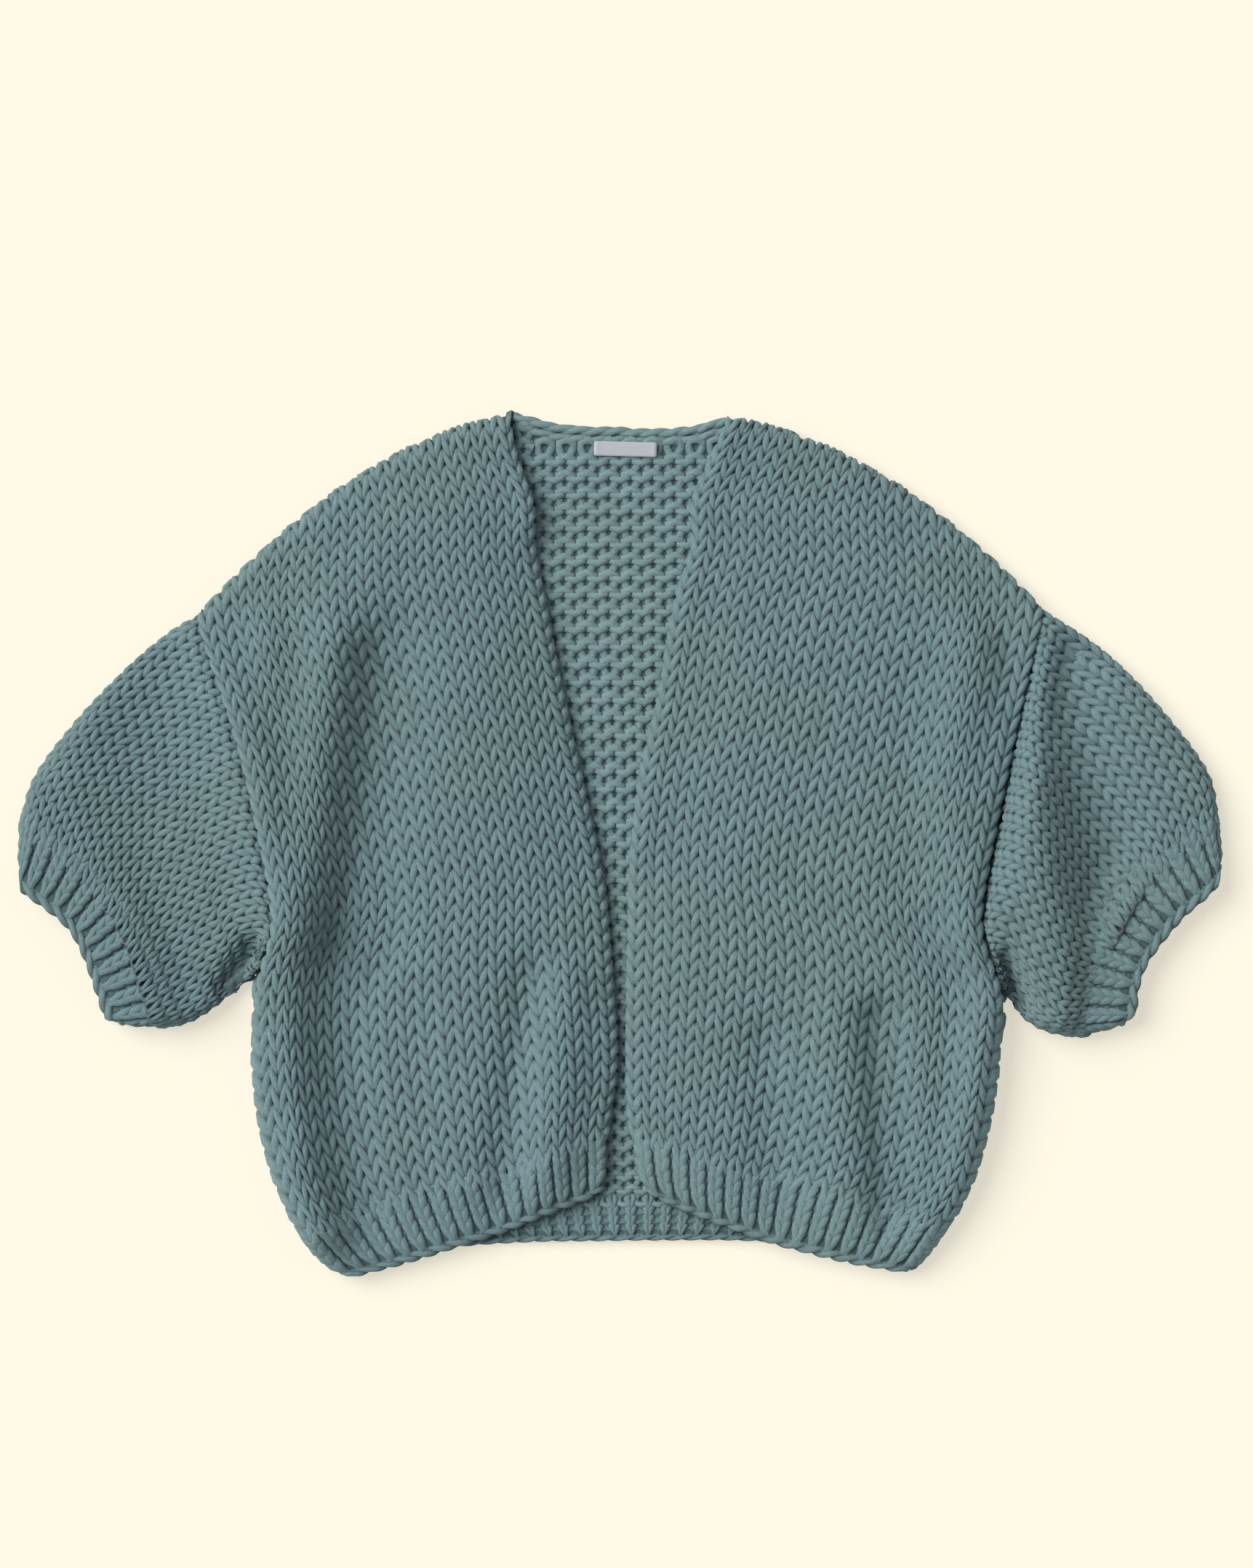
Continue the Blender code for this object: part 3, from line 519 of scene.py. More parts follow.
def to_and_fro(courses, stitch, ribbed=False, points=12):
    """One yarn through courses (course, first wale, last wale), turned round where one ends.
    Gives x, y, z in millimetres, and wale, face and loop for the tree."""
    rows = []
    heading = 1
    for n, (course, first, last) in enumerate(courses):
        i = np.linspace(first, last, int(round((last - first) * points)) + 1)[::heading]
        face = np.clip(1.5 * np.sin(np.pi * i), -1, 1) if ribbed else np.ones(len(i))
        rows.append(np.column_stack([i * stitch["wale"], course * stitch["course"] + 0 * i, 0 * i, i - .5,
                                     face, np.ones(len(i))]))
        if n + 1 < len(courses):
            following, next_first, next_last = courses[n + 1]
            here, there = (last, next_last) if heading > 0 else (first, next_first)
            for angle in np.radians([40, 90, 140]):
                share = (1 - np.cos(angle)) / 2
                x = (here + (there - here) * share) * stitch["wale"] + heading * TURN_OUT * np.sin(angle)
                y = (course + (following - course) * share) * stitch["course"] - stitch["Loop height"]
                rows.append([[x, y, -stitch["Loop depth"] * (not ribbed), 0, 1, 0]])
        heading = -heading
    return np.vstack(rows)


def put(mesh, name, values):
    """Values at the points of a mesh."""
    mesh.attributes.new(name, "FLOAT", "POINT").data.foreach_set("value", values.astype(np.float32))


def knitted(name, lines, stitch, fabric, wool, sides=7, tree=KNITTING):
    """Yarn piece: the tree loops the lines flat, and the tubes are then laid in the fabric's shape."""
    starts = np.concatenate([[0], np.cumsum([len(line) for line in lines])])
    edges = [(k, k + 1) for a, b in zip(starts, starts[1:]) for k in range(a, b - 1)]
    every = np.vstack(lines)
    piece = new_piece(name, every[:, :3], edges=edges)
    for k, attribute in ((3, "wale"), (4, "face"), (5, "loop")):
        put(piece.data, attribute, every[:, k])
    modifier = piece.modifiers.new("yarn", "NODES")
    modifier.node_group = tree
    values = {**stitch, "Sides": sides, "Wool": wool}
    for item in tree.interface.items_tree:
        if item.in_out == "INPUT" and item.name in values:
            value = values[item.name]
            is_length = isinstance(value, float) and item.name != "Leg swell"
            modifier[item.identifier] = value * MM if is_length else value
    graph = bpy.context.evaluated_depsgraph_get()
    looped = bpy.data.meshes.new_from_object(piece.evaluated_get(graph), preserve_all_data_layers=True,
                                             depsgraph=graph)
    piece.modifiers.clear()
    flat_mesh, piece.data = piece.data, looped
    bpy.data.meshes.remove(flat_mesh)
    looped.name = name
    flat = np.zeros(len(looped.vertices) * 3)
    looped.vertices.foreach_get("co", flat)
    flat = flat.reshape(-1, 3) / MM
    shaped = laid(fabric, flat[:, 0] / stitch["wale"], flat[:, 1] / stitch["course"], flat[:, 2])
    looped.vertices.foreach_set("co", (shaped * MM).ravel())
    # How far each bit of yarn stands out of the fabric, for the shade painted between the stitches
    put(looped, "proud", np.abs(flat[:, 2]) / (stitch["Yarn radius"] + stitch["Loop depth"]))
    if fabric["turned"] < 0:
        looped.flip_normals()
    looped.update()
    return piece


def closed_sheet(name, sides, tube=False):
    """A thin smooth piece between its two sides, which are grids of places; a tube closes round its rows."""
    rows, columns = sides[0].shape[:2]
    number = np.arange(2 * rows * columns).reshape(2, rows, columns)
    if tube:
        number = np.concatenate([number, number[:, :, :1]], axis=2)
    faces = []

    def strip(a, b):
        faces.extend(np.stack([a[:-1], a[1:], b[1:], b[:-1]], axis=-1).tolist())

    for r in range(rows - 1):
        strip(number[0, r], number[0, r + 1])
        strip(number[1, r + 1], number[1, r])
    strip(number[1, 0], number[0, 0])
    strip(number[0, -1], number[1, -1])
    if not tube:
        strip(number[0, :, 0], number[1, :, 0])
        strip(number[1, :, -1], number[0, :, -1])
    piece = new_piece(name, np.concatenate([side.reshape(-1, 3) for side in sides]), faces=faces)
    piece.data.shade_smooth()
    return piece


def ground(name, fabric, wales, low, high, rows, yarn, node_name, tube=False, middle=0.0,
           half_thick=1.4):
    """Ground of a piece from the low to the high course of each wale: a thin closed sheet in the middle of
    the cloth where the loops cross, in a darker wool that paints the shade seen in the gaps between the
    stitches."""
    i, j = np.broadcast_arrays(wales, low + (high - low) * np.linspace(0, 1, rows)[:, None])
    sides = [laid(fabric, i, j, middle + side * half_thick) for side in (1, -1)]
    piece = closed_sheet(name, [side[:, :-1] for side in sides] if tube else sides, tube)
    if fabric["turned"] < 0:
        piece.data.flip_normals()
    piece.data.materials.append(WOOL_BACKING_PAINTED_SHADE)
    for one in (piece, *yarn):
        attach(one, "root")
        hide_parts(node_name)
    return piece


FIBRE_TURN, FIBRE_LENGTH = 60.0, 16.0  # how far along the strand a fibre winds once round it, and its scale


def wool_material(name, colour, greener, deep):
    """Soft merino, carded and loosely plied: matt, with fine fibres that streak along the strand.
    Shade is painted between the strands: the deeper the wool lies in the cloth, the darker it is, down to the
    share deep."""
    made, tree, output = empty_material(name)
    strand, around, proud = (node(tree, "ShaderNodeAttribute", attribute_name=kept)
                             for kept in ("strand", "round", "proud"))
    around = node(tree, "ShaderNodeSeparateXYZ", [around.outputs["Vector"]]).outputs
    angle = node(tree, MATH, [around[1], around[0]], operation="ARCTAN2")
    wind = node(tree, MATH, [strand.outputs["Fac"], 2 * np.pi / (FIBRE_TURN * MM)], operation="MULTIPLY")
    angle = node(tree, MATH, [angle, wind], operation="ADD")
    x, y = (node(tree, MATH, [angle], operation=wave) for wave in ("COSINE", "SINE"))
    z = node(tree, MATH, [strand.outputs["Fac"], 1 / (FIBRE_LENGTH * MM)], operation="MULTIPLY")
    wound = node(tree, "ShaderNodeCombineXYZ", [x, y, z])
    place = node(tree, "ShaderNodeTexCoord").outputs["Object"]
    # Four patterns: hairs of 2.4 mm, drawn far coarser than real ones so that they show, fibres along
    # the strand, stitches of 17 mm and clouds in the dye of 125 mm
    fuzz, fibres, stitch, cloudy = (
        node(tree, "ShaderNodeTexNoise", {"Vector": vector, "Scale": scale, "Detail": detail,
                                          "Roughness": roughness}).outputs["Fac"]
        for vector, scale, detail, roughness in ((place, 420.0, 3.0, .7), (wound, 3.4, 5.0, .62),
                                                 (place, 60.0, 1.0, .5), (place, 8.0, 2.0, .5)))
    # Painted shade: the yarn is darker the less it stands out of the fabric
    painted_crevice_shade = node(tree, "ShaderNodeMapRange", [proud.outputs["Fac"], 0.0, .9, deep, 1.0],
               interpolation_type="SMOOTHSTEP")
    tone = .24
    for pattern, weight in ((fibres, .85), (fuzz, .45), (stitch, .22)):
        tone = node(tree, MATH, [pattern, weight, tone], operation="MULTIPLY_ADD")
    tone = node(tree, MATH, [tone, painted_crevice_shade], operation="MULTIPLY")
    hue = node(tree, "ShaderNodeMapRange", [cloudy, .35, .65])
    mixed = node(tree, "ShaderNodeMix", {"Factor": hue, "A": linear(colour), "B": linear(greener)},
                 data_type="RGBA")
    shaded = node(tree, VECTOR_MATH, {0: mixed.outputs["Result"], "Scale": tone}, operation="SCALE")
    relief = node(tree, MATH, [fuzz, .5, fibres], operation="MULTIPLY_ADD")
    bump = node(tree, "ShaderNodeBump", {"Height": relief, "Strength": .8, "Distance": 1.4 * MM})
    shader = node(tree, "ShaderNodeBsdfPrincipled",
                  {"Base Color": shaded, "Normal": bump, "Roughness": .9, "Specular IOR Level": .2,
                   "IOR": 1.5, "Sheen Weight": .15, "Sheen Roughness": .5, "Sheen Tint": linear("DCE8E8")})
    tree.links.new(shader.outputs[0], output.inputs["Surface"])
    return made


SAGE_WOOL = wool_material("soft_plied_merino_sage", "738E95", "748E92", .5)
# The back's wool is painted lighter than the fronts', with less painted shade between its strands, to make up
# for the shade it lies in between the fronts
BACK_WOOL_PAINTED_LIGHTER = wool_material("soft_plied_merino_back_painted_lighter", "7D999F", "7E999C", .72)
# Painted shade: the ground sheets are a darker copy of the wool, for the shade in the gaps between the
# stitches
WOOL_BACKING_PAINTED_SHADE = wool_material("merino_backing_painted_shade", "4E666A", "4E6666", 1.0)
HALVES = (("left", 1), ("right", -1))  # with the way that the fabric of each is turned

fronts = {}
for name, turned in HALVES:
    surface, share, from_shoulder = front_surface(name)
    fronts[name] = surface, turned
    fabric = sampled(lambda i, j: surface(share(i, j), j), FRONT_WALES, LAST_COURSE, turned)
    courses = []
    eighths = np.arange(0, FRONT_WALES + .01, .125)
    for course in np.arange(RIB_END + .5, LAST_COURSE + .5):
        inside = eighths[from_shoulder(eighths, course) > SHOULDER_START]
        if len(inside) > 8:
            courses.append((course, inside[0], FRONT_WALES))
    lines = [to_and_fro(courses[k:k + 2], STITCH) for k in range(0, len(courses), 2)]
    yarn = knitted(f"yarn_front_{name}", lines, STITCH, fabric, SAGE_WOOL)
    wales = np.linspace(-.1, FRONT_WALES - .2, 41)
    # The ground goes down behind the shoulder fold, but stays short at the neck, where it would show
    room = np.where(wales < FRONT_WALES - 2.5, BEHIND_SHOULDER, SHORT_OF_NECK)
    high = last_courses(from_shoulder, wales, LAST_COURSE + 1, room)
    ground(f"cloth_front_{name}", fabric, wales, RIB_END, high, 70, [yarn], f"front_{name}")

# Hem ribs of the fronts
# Single rib, one stitch knitted and one purled, along the bottom of each front. The knitted wales
# stand up as ridges, the purled ones sink between them, and the rib fans out with the side seam.
RIB_STITCH = {**STITCH, "wale": 6.0, "course": 11.7, "Loop height": 8.8, "Loop bulge": 1.9, "Loop depth": 1.3,
              "Rib lift": 1.6, "Yarn radius": 2.55, "Leg swell": .12}
# A chain's loop depth only sets its painted shade
CAST_OFF = {"wale": 6.0, "course": 11.7, "Twist radius": 1.6, "Loop depth": 2.0, "Yarn radius": 2.5}
RIB_COURSES = np.linspace(1.2, 3.42, 4)
CAST_OFF_COURSE = .37
CHAIN_STEP = 14.0  # length of one stitch of a cast-off chain
FRONT_RIB_WALES = 34


def rib_wales(i, wales):
    """Share of a rib's width at each wale: each knitted wale spreads and each purled one closes up."""
    return (i - .5 / np.pi * (np.cos(np.pi * i) - 1)) / (wales + 1 / np.pi * (wales % 2))


def cast_off_tree():
    """Winds the two strands of a cast-off chain round each other along the edge."""
    tree, given = yarn_tree("cast_off_chain", ("Twist radius", "Yarn radius"))
    turn = node(tree, MATH, [node(tree, NAMED, {"Name": "wale"}), 2 * np.pi], operation="MULTIPLY")
    waves = [node(tree, MATH, [turn], operation=wave) for wave in ("COSINE", "SINE")]
    wound = [node(tree, MATH, [wave, given["Twist radius"]], operation="MULTIPLY") for wave in waves]
    offset = node(tree, "ShaderNodeCombineXYZ", [0.0, *wound])
    path = node(tree, "GeometryNodeSetPosition", {"Geometry": given["Geometry"], "Offset": offset})
    return spun(tree, given, path)


CHAIN = cast_off_tree()


def cast_off(name, first, last, course, fabric, chain=CAST_OFF, wool=SAGE_WOOL):
    """Chain of two strands along an edge, from one wale to another, at a course."""
    i = np.linspace(first, last, int((last - first) * chain["wale"] / 1.6) + 1)
    j = course(i) if callable(course) else course + 0 * i
    turns = reach(laid(fabric, i, j)) / (2 * CHAIN_STEP)
    lines = [np.column_stack([i * chain["wale"], j * chain["course"], 0 * i, turns + half, 0 * i, 0 * i])
             for half in (0, .5)]
    return knitted(name, lines, chain, fabric, wool, tree=CHAIN)


def rib(part, node_name, first, last, fabric, stitch, sides=7, edge_past=0.0, tube=False):
    """Rib with its cast-off edge and its ground, knitted to and fro, or round as a tube."""
    courses = [(course, first, last) for course in RIB_COURSES]
    runs = [[course] for course in courses] if tube else [courses]
    lines = [to_and_fro(run, stitch, ribbed=True) for run in runs]
    yarn = knitted(f"yarn_{part}", lines, stitch, fabric, SAGE_WOOL, sides)
    edge = cast_off(f"cast_off_{part}", first - edge_past, last, CAST_OFF_COURSE, fabric)
    wales = np.linspace(first, last, 2 * (last - first) + 1)
    ground(f"cloth_{part}", fabric, wales, RIB_START, RIB_END, 8, [yarn, edge], node_name, tube=tube)


for name, (surface, turned) in fronts.items():
    fabric = sampled(lambda i, j: surface(rib_wales(i, FRONT_RIB_WALES), j), FRONT_RIB_WALES, RIB_END, turned)
    rib(f"hem_front_{name}", f"hem_rib_front_{name}", 0, FRONT_RIB_WALES, fabric, RIB_STITCH,
        edge_past=.2)

# Back
# One panel in stocking stitch with its purl side up, so that rows of purl bumps show inside the
# neck and between the fronts. Its back neck is cast off, and its sides fold up to meet the fronts.
BACK_WALES = 42
BACK_HEM_RISE = 27.0  # how much further up the courses are in the middle of the hem
BACK_REACH = 4.5  # as YARN_REACH
BACK_STITCH = {**STITCH, "wale": 14.2, "course": 12.3, "Loop height": 8.9, "Loop bulge": 3.3,
               "Loop depth": 1.1, "Yarn radius": 3.4}
NECK_DIP = [(-66, 320.5), (-46, 315), (0, 312.5), (46, 313), (64, 316.5)]
NECK_HALF = 74.0  # half the width of the neck
NECK_ROOM, SHOULDER_ROOM = 10.5, 17.0  # the last loops' distance from the edge
INNER_CHAIN = .52  # courses from the neck's edge to the second strand of its chain
NECK_CHAIN = {**CAST_OFF, "wale": 14.2, "course": 12.3, "Twist radius": 1.0, "Yarn radius": 2.9}


def back_surface():
    """Where the knit face of the back lies, on the floor, for each wale from the left and each course."""
    left, right = side_rail(OUTLINE["left"]), side_rail(OUTLINE["right"])
    neck = smooth([OUTLINE["left"]["edge_high"][-1], *NECK_DIP, OUTLINE["right"]["edge_high"][-1]], 30)
    left_fold, right_fold = shoulder_line(OUTLINE["left"]), shoulder_line(OUTLINE["right"])[::-1]
    top = np.vstack([left_fold[:-1], neck[1:-1], right_fold[1:]])
    widths = 1 + .12 * np.cos(np.pi * (np.arange(BACK_WALES) / (BACK_WALES - 1) * 2 - 1))
    shares = np.concatenate([[0], np.cumsum(widths)]) / widths.sum()

    def share(i):
        past = np.where(i < 0, i, np.maximum(i - BACK_WALES, 0))
        return np.interp(i, np.arange(BACK_WALES + 1), shares) + past / (BACK_WALES + 2)

    def flat_place(u, j):
        place, *rest = row_places(left(j), right(j), u, j, inset_at(j))
        rise = np.clip((UNDERARM - j) / (UNDERARM - RIB_END), 0, 1)
        place[..., 1] += BACK_HEM_RISE * (1 - (2 * u - 1) ** 4) * rise
        return place, *rest

    def surface(u, j):
        place, direction, from_left, from_right, low = flat_place(u, j)
        move_left, rise_left = rolled(from_left)
        move_right, rise_right = rolled(from_right)
        place = place + direction * ((move_left - move_right) * low)[..., None]
        height = (rise_left + rise_right) * low
        return np.concatenate([place, height[..., None]], axis=-1)

    return surface, share, lambda i, j: beyond(*np.moveaxis(flat_place(share(i), j)[0], -1, 0), top)[0]


surface, share, from_top = back_surface()
back = sampled(lambda i, j: surface(share(i), j), BACK_WALES, LAST_COURSE + 1, -1, BACK_REACH)
courses = []
for course in np.arange(RIB_END + .5, LAST_COURSE + 1):
    wales = np.arange(BACK_WALES + 1)
    at_neck = np.abs(laid(back, wales, course)[:, 0]) < NECK_HALF
    inside = wales[from_top(wales, course) > np.where(at_neck, NECK_ROOM, SHOULDER_ROOM)]
    if len(inside) > 1:
        courses.append((course, int(inside[0]), int(inside[-1])))
half_way = len(courses) // 2
# The back's yarn is in the wool painted lighter
yarn = [knitted(f"yarn_back_{part}", [to_and_fro(some, BACK_STITCH, points=10)], BACK_STITCH, back, BACK_WOOL_PAINTED_LIGHTER,
                sides=6) for part, some in (("low", courses[:half_way]), ("high", courses[half_way:]))]
wales = np.linspace(0, BACK_WALES, 85)
high = last_courses(from_top, wales, LAST_COURSE + 2, 3)
neck_wales = wales[np.abs(laid(back, wales, high)[:, 0]) < NECK_HALF + 6]
yarn += [cast_off(f"cast_off_neck_{place}", neck_wales[0], neck_wales[-1],
                  lambda i: np.interp(i, wales, high) - lower, back, NECK_CHAIN, BACK_WOOL_PAINTED_LIGHTER)
         for place, lower in (("outer", 0.0), ("inner", INNER_CHAIN))]
ground("cloth_back", back, wales, RIB_END, high, 60, yarn, "back", middle=.8,
       half_thick=.6)

# Hem rib of the back
# The same single rib along the bottom of the back. Only a strip of it shows below the fronts, where
# its purl side is up and its cast-off edge lies on the floor.
BACK_RIB = {**RIB_STITCH, "Loop depth": 1.1, "Rib lift": .9}
BACK_RIB_WALES = 70
fabric = sampled(lambda i, j: surface(rib_wales(i, BACK_RIB_WALES), j), BACK_RIB_WALES, RIB_END, -1,
                 BACK_REACH)
rib("hem_back", "hem_rib_back", 0, BACK_RIB_WALES, fabric, BACK_RIB, sides=6)

# Sleeves
# Dropped short sleeves, knitted round as tubes and gathered into their cuffs. They lie flattened but
# puffed up, and their wales leave the armhole seam square to it and then run steeply to the cuff.
SLEEVE_TOP_WALES, SLEEVE_UNDER_WALES = 23, 17
SLEEVE_COURSE = 11.0
FULLER_ABOVE = .1  # how much wider the wales are at the outer fold, which is stretched
EDGE_HEIGHT = 10.5  # of a sleeve's folded edges
RIB_LINE_TOP, CUFF_TOP = 26.5, 24.5  # top of a sleeve where its cuff begins, and of the cuff's mouth
LOWEST_CROWN, HIGHEST_CROWN = 10.0, 55.0  # top of a sleeve where it is pressed flat, and where it puffs most
SLEEVE_ROUND, CUFF_ROUND = 14.0, 12.0  # how far in from its folds a tube gets to its full height
SLEEVE_BOW = 17.0  # how far the courses near the seam bow out towards the shoulder
RIDGE_NEAR, RIDGE_FAR = 15.0, 75.0  # reaches of the steep and the long slope from the ridge
FOLDS_BEGIN, FOLDS_END = .12, .25  # shares of the sleeve in which its folds fade at the seam and the cuff
GROOVE_WIDTH = 8.0
SLEEVE_STITCH = {**STITCH, "wale": 13.2, "course": 11.0, "Loop height": 8.6, "Loop bulge": 3.5}
SLEEVES = {
    "left": {
        "top": [(-318, 171.5), (-331, 164.5), (-345.3, 154.5), (-370.7, 132.5), (-401.6, 100), (-428.2, 67),
                (-441, 45), (-448, 20)],
        "bottom": [(-271.5, -95), (-292, -113), (-310, -126.5), (-323, -133), (-336, -135.5)],
        "rib_line": [(-448, 20), (-402.8, -11.9), (-366, -56), (-346.5, -103), (-336, -135.5)],
        "cuff_edge": [(-450.5, -23), (-447, -35), (-437.5, -42.5), (-416.5, -58.5), (-404.5, -76),
                      (-391, -112), (-385, -129), (-375, -135.5)],
        "puff": 3.0, "puffed_at": 1.9, "step": 1.0,
        "folds": [(-336, 112, -346, 20, -338, -92, 36, -9),
                  (-392, 92, -414, 40, -420, 2, 20, 4), (-271, -77, -279, -90, -289, -104, 11, -23)]},
    "right": {
        "top": [(317.7, 176.5), (352.8, 153.4), (378.3, 131.7), (407.6, 99.2), (432.5, 66.7), (443, 45),
                (446.8, 20)],
        "bottom": [(288.3, -111.5), (297, -126), (312, -137), (327, -141.5), (340, -142.8)],
        "rib_line": [(446.8, 20), (409.5, -5), (375, -38), (353, -84), (340, -142.8)],
        "cuff_edge": [(450.4, -19), (446.5, -29.5), (436.3, -41), (419, -56), (396, -85), (387.5, -106),
                      (385.5, -124), (379, -135)],
        "puff": 22.0, "puffed_at": .45, "step": 2.0,
        "folds": [(299, 128, 308, 10, 340, -122, 24, 14), (330, 132, 356, 14, 392, -112, 33, -20),
                  (296, -88, 312, -124, 342, -132, 13, 5), (284, -87, 291, -100, 296, -116, 11, -23)]}}


def divided(line, wales, ribbed, fuller=0.0):
    """A line divided into wales that are wider at its start, or into those of a rib, and sampled."""
    share = np.linspace(0, 1, wales * SAMPLES + 1)
    share = rib_wales(share * wales, wales) if ribbed else share + fuller * share * (1 - share)
    return at_distance(line, share * reach(line)[-1])


def tube_ring(line, crown, round_reach, top_wales, under_wales, ribbed=False):
    """One ring of a flattened tube, from the underarm fold below, round the outer fold, and back above."""
    width = reach(line)
    lift = round_over(np.minimum(width, width[-1] - width), round_reach)
    above = np.column_stack([line, EDGE_HEIGHT + (crown - EDGE_HEIGHT) * lift])
    under = np.column_stack([line, EDGE_HEIGHT * (1 - lift)])
    return np.vstack([divided(under[::-1], under_wales, ribbed),
                      divided(above, top_wales, ribbed, FULLER_ABOVE)[1:]])


def sleeve_fabric(name, turned):
    """The sleeve as it lies, and how many courses each wale has from the cuff to the seam."""
    half, arm = SLEEVES[name], np.array(OUTLINE[name]["armhole"], float)[::-1]
    u = (1 - np.cos(np.pi * np.linspace(0, 1, 161))) / 2
    w = u[:, None]
    start, fan = along(arm, u), along(smooth(half["rib_line"]), u)
    upper, lower = smooth(half["top"]), smooth(half["bottom"])
    outwards = np.array([-.62 if name == "left" else .62, .78])
    rings = []
    for v in np.linspace(0, 1, 49):
        corners = (1 - v) * ((1 - w) * start[0] + w * start[-1]) + v * ((1 - w) * fan[0] + w * fan[-1])
        line = (1 - v) * start + v * fan + (1 - w) * along(upper, v) + w * along(lower, v) - corners
        line = line + outwards * SLEEVE_BOW * (1 - v) * (1 - np.exp(-v / .1)) * np.sin(np.pi * w) ** .8
        puff = half["puff"] * np.sin(np.pi * v ** half["puffed_at"]) ** .8 if 0 < v < 1 else 0.0
        from_seam = v * np.linalg.norm(fan - start, axis=1)
        slope = (np.exp(-(from_seam / RIDGE_NEAR) ** 1.3) + np.exp(-(from_seam / RIDGE_FAR) ** 1.3)) / 2
        ridge = (np.interp(start[:, 1], RIDGE_AT, RIDGE[name]) - half["step"]) * slope
        fade = np.clip(v / FOLDS_BEGIN, 0, 1) * np.clip((1 - v) / FOLDS_END, 0, 1)
        fold = fold_height(half["folds"], *line.T) * fade
        crown = LAID_TOP + (RIB_LINE_TOP - LAID_TOP) * v ** 3 + puff * np.sin(np.pi * u) ** .7 + ridge + fold
        rings.append(tube_ring(line, np.clip(crown, LOWEST_CROWN, HIGHEST_CROWN), SLEEVE_ROUND,
                               SLEEVE_TOP_WALES, SLEEVE_UNDER_WALES))
    wale_lines = np.array(rings)[::-1].swapaxes(0, 1)
    courses = np.arange(FIRST_COURSE, 21, 1 / SAMPLES)
    grid = np.stack([at_distance(line, courses * SLEEVE_COURSE) for line in wale_lines], axis=1)
    count = np.array([reach(line)[-1] for line in wale_lines]) / SLEEVE_COURSE
    # The seam at the armhole is a shallow groove, and the knitting ends under the front
    to_seam = (count[None, :] - courses[:, None]) * SLEEVE_COURSE
    grid[..., 2] = np.where(to_seam < 0, wale_lines[:, -1, 2], grid[..., 2])
    dive = 1 - round_over(np.maximum(to_seam, 0), GROOVE_WIDTH) + np.clip(-to_seam, 0, 10) * .9
    grid[..., 2] -= dive * np.clip((grid[..., 2] - EDGE_HEIGHT) / 8, 0, 1)
    return fabric_of(grid, -SLEEVE_UNDER_WALES, turned), count


sleeve_wales = np.arange(-SLEEVE_UNDER_WALES, SLEEVE_TOP_WALES + .5 / SAMPLES, 1 / SAMPLES)
for name, turned in HALVES:
    fabric, count = sleeve_fabric(name, turned)
    lines = []
    for course in np.arange(-.3, count.max() + .8):
        inside = sleeve_wales[count + 1.3 > course]
        lines.append(to_and_fro([(course, np.ceil(inside[0]), np.floor(inside[-1]))], SLEEVE_STITCH))
    yarn = knitted(f"yarn_sleeve_{name}", lines, SLEEVE_STITCH, fabric, SAGE_WOOL)
    wales = np.linspace(-SLEEVE_UNDER_WALES, SLEEVE_TOP_WALES, 73)
    high = np.interp(wales, sleeve_wales, count) + .8
    ground(f"cloth_sleeve_{name}", fabric, wales, 0, high, 30, [yarn], f"sleeve_{name}",
           tube=True)

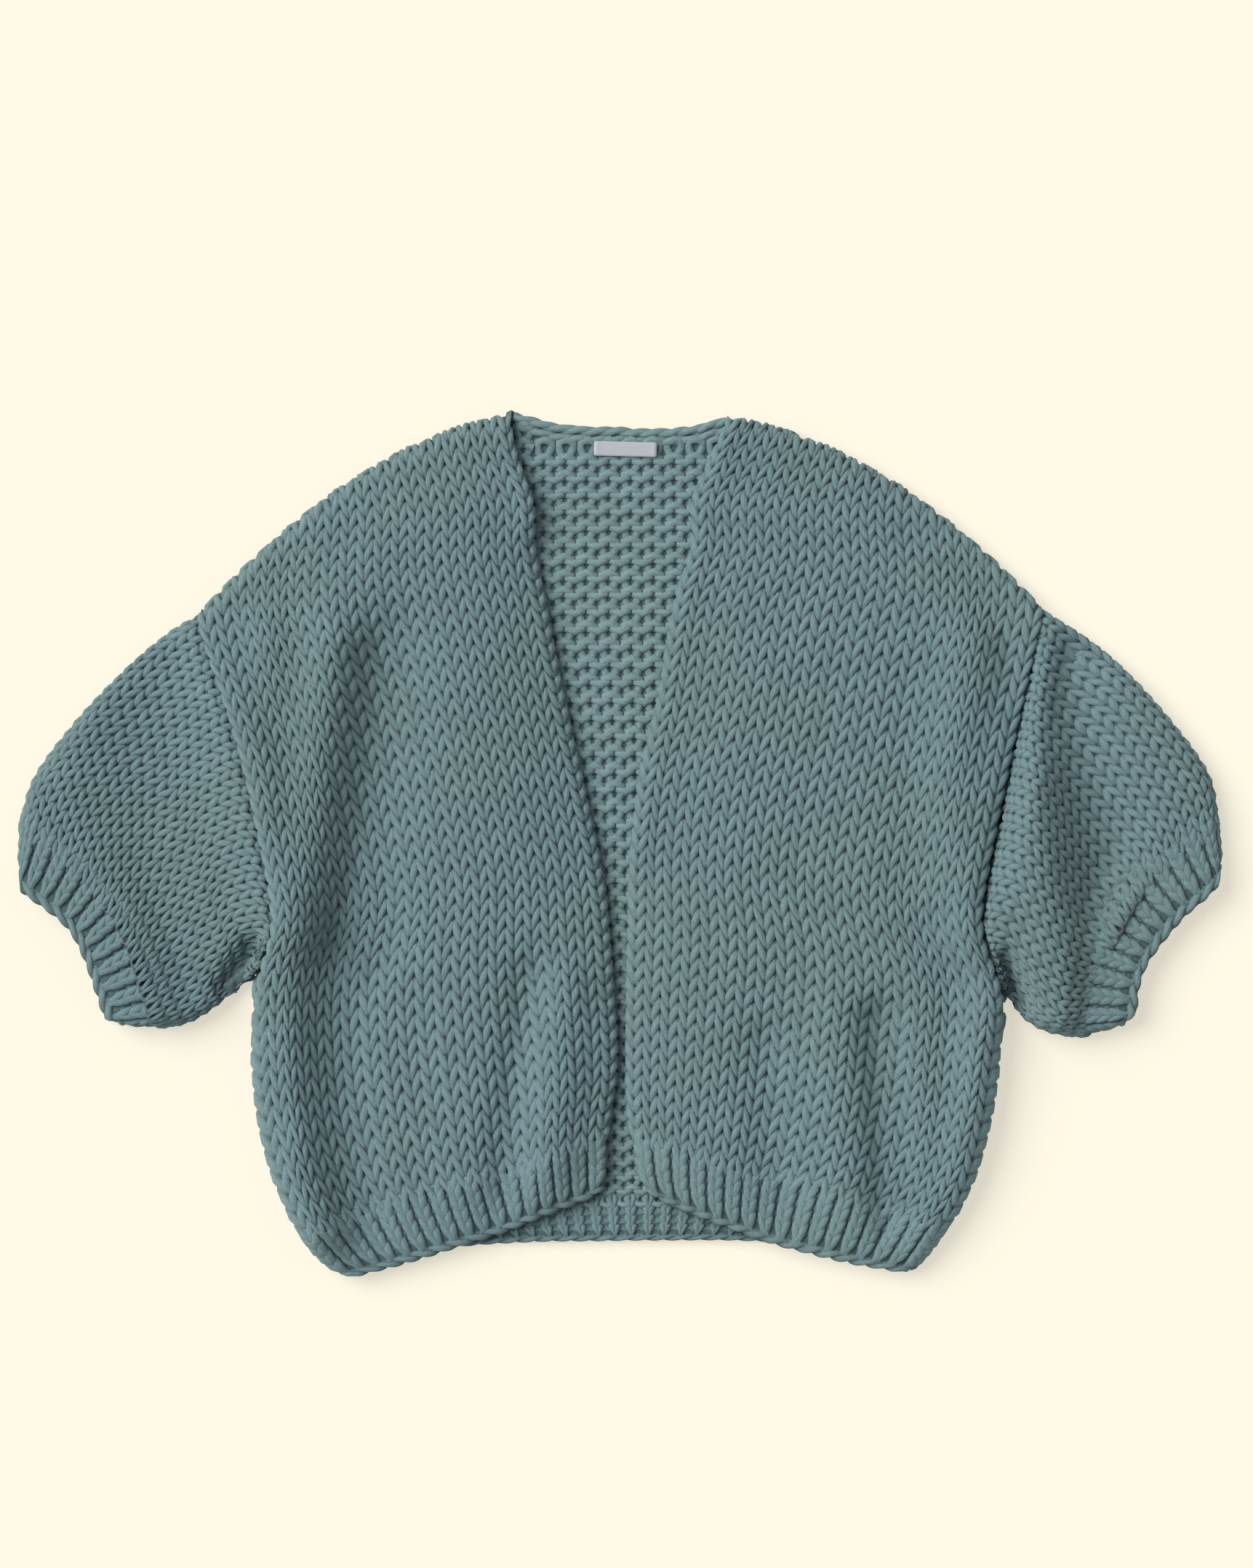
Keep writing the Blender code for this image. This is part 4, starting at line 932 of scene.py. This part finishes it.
# Cuffs
# Single rib round the mouth of each sleeve, knitted on from it and cast off. It holds the gathers,
# and its ribs fan out from the underarm as the flattened mouth curves.
CUFF_WALES = 28
CUFF_STITCH = {**RIB_STITCH, "wale": 6.4, "Loop bulge": 2.0}
CUFF_DEPTHS = ([FIRST_COURSE, 0, RIB_START, RIB_END, RIB_END + 1],
               [-12, 0, HEM_DEPTH / CAST_OFF_PART, HEM_DEPTH, HEM_DEPTH + 10])
for name, turned in HALVES:
    start, end = (smooth(SLEEVES[name][line], 161) for line in ("rib_line", "cuff_edge"))
    rings = []
    for course in np.arange(FIRST_COURSE, RIB_END + 1.5, 1 / SAMPLES):
        v = 1 - np.interp(course, *CUFF_DEPTHS) / HEM_DEPTH
        crown = RIB_LINE_TOP + (CUFF_TOP - RIB_LINE_TOP) * v
        line = (1 - v) * start + v * end
        rings.append(tube_ring(line, crown, CUFF_ROUND, CUFF_WALES, CUFF_WALES, ribbed=True))
    fabric = fabric_of(np.array(rings), -CUFF_WALES, turned)
    rib(f"cuff_{name}", f"cuff_{name}", -CUFF_WALES, CUFF_WALES, fabric, CUFF_STITCH, sides=6,
        tube=True)

# Label
# A small woven satin ribbon sewn inside the back neck, left bare. Its ends are turned under, so the
# corners are a little thicker and softer than the middle.
LABEL_SIZE = (47.0, 11.0, 1.2)
LABEL_PLACE = (3.8, 296.0, 9.3)
LABEL_TURN = np.radians(-1.5)
u, v = np.meshgrid(np.linspace(-1, 1, 25), np.linspace(-1, 1, 9))
inset = np.maximum(np.abs(u) - .94, 0) * np.maximum(np.abs(v) - .8, 0) * 60
x = u * LABEL_SIZE[0] / 2 * (1 - inset * .02)
y = v * LABEL_SIZE[1] / 2 * (1 - inset * .08)
turned_under = np.exp(-((np.abs(u) - .9) / .07) ** 2) * .25
soft_edge = .5 * (np.maximum(np.abs(v) - .8, 0) + np.maximum(np.abs(u) - .95, 0))
z = LABEL_SIZE[2] - .35 + turned_under - soft_edge
cosine, sine = np.cos(LABEL_TURN), np.sin(LABEL_TURN)
label = closed_sheet("woven_label", [
    np.stack([x * cosine - y * sine, x * sine + y * cosine, level], axis=-1) + LABEL_PLACE
    for level in (z, 0 * z)])
ribbon, tree, output = empty_material("woven_satin_ribbon_pale_grey")
where = node(tree, "ShaderNodeTexCoord").outputs["Object"]
threads = node(tree, "ShaderNodeTexWave", {"Vector": where, "Scale": 550.0, "Distortion": .6, "Detail": 1.0},
               wave_type="BANDS", bands_direction="Y")
shade = node(tree, MATH, [threads.outputs["Fac"], .06, .94], operation="MULTIPLY_ADD")
colour = node(tree, VECTOR_MATH, {0: linear("B4BAC3")[:3], "Scale": shade}, operation="SCALE")
bump = node(tree, "ShaderNodeBump", {"Height": threads.outputs["Fac"], "Strength": .25, "Distance": .2 * MM})
shader = node(tree, "ShaderNodeBsdfPrincipled", {"Base Color": colour, "Roughness": .5, "IOR": 1.5,
                                                 "Sheen Weight": .1, "Normal": bump})
tree.links.new(shader.outputs[0], output.inputs["Surface"])
label.data.materials.append(ribbon)
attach(label, "root")
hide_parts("label")
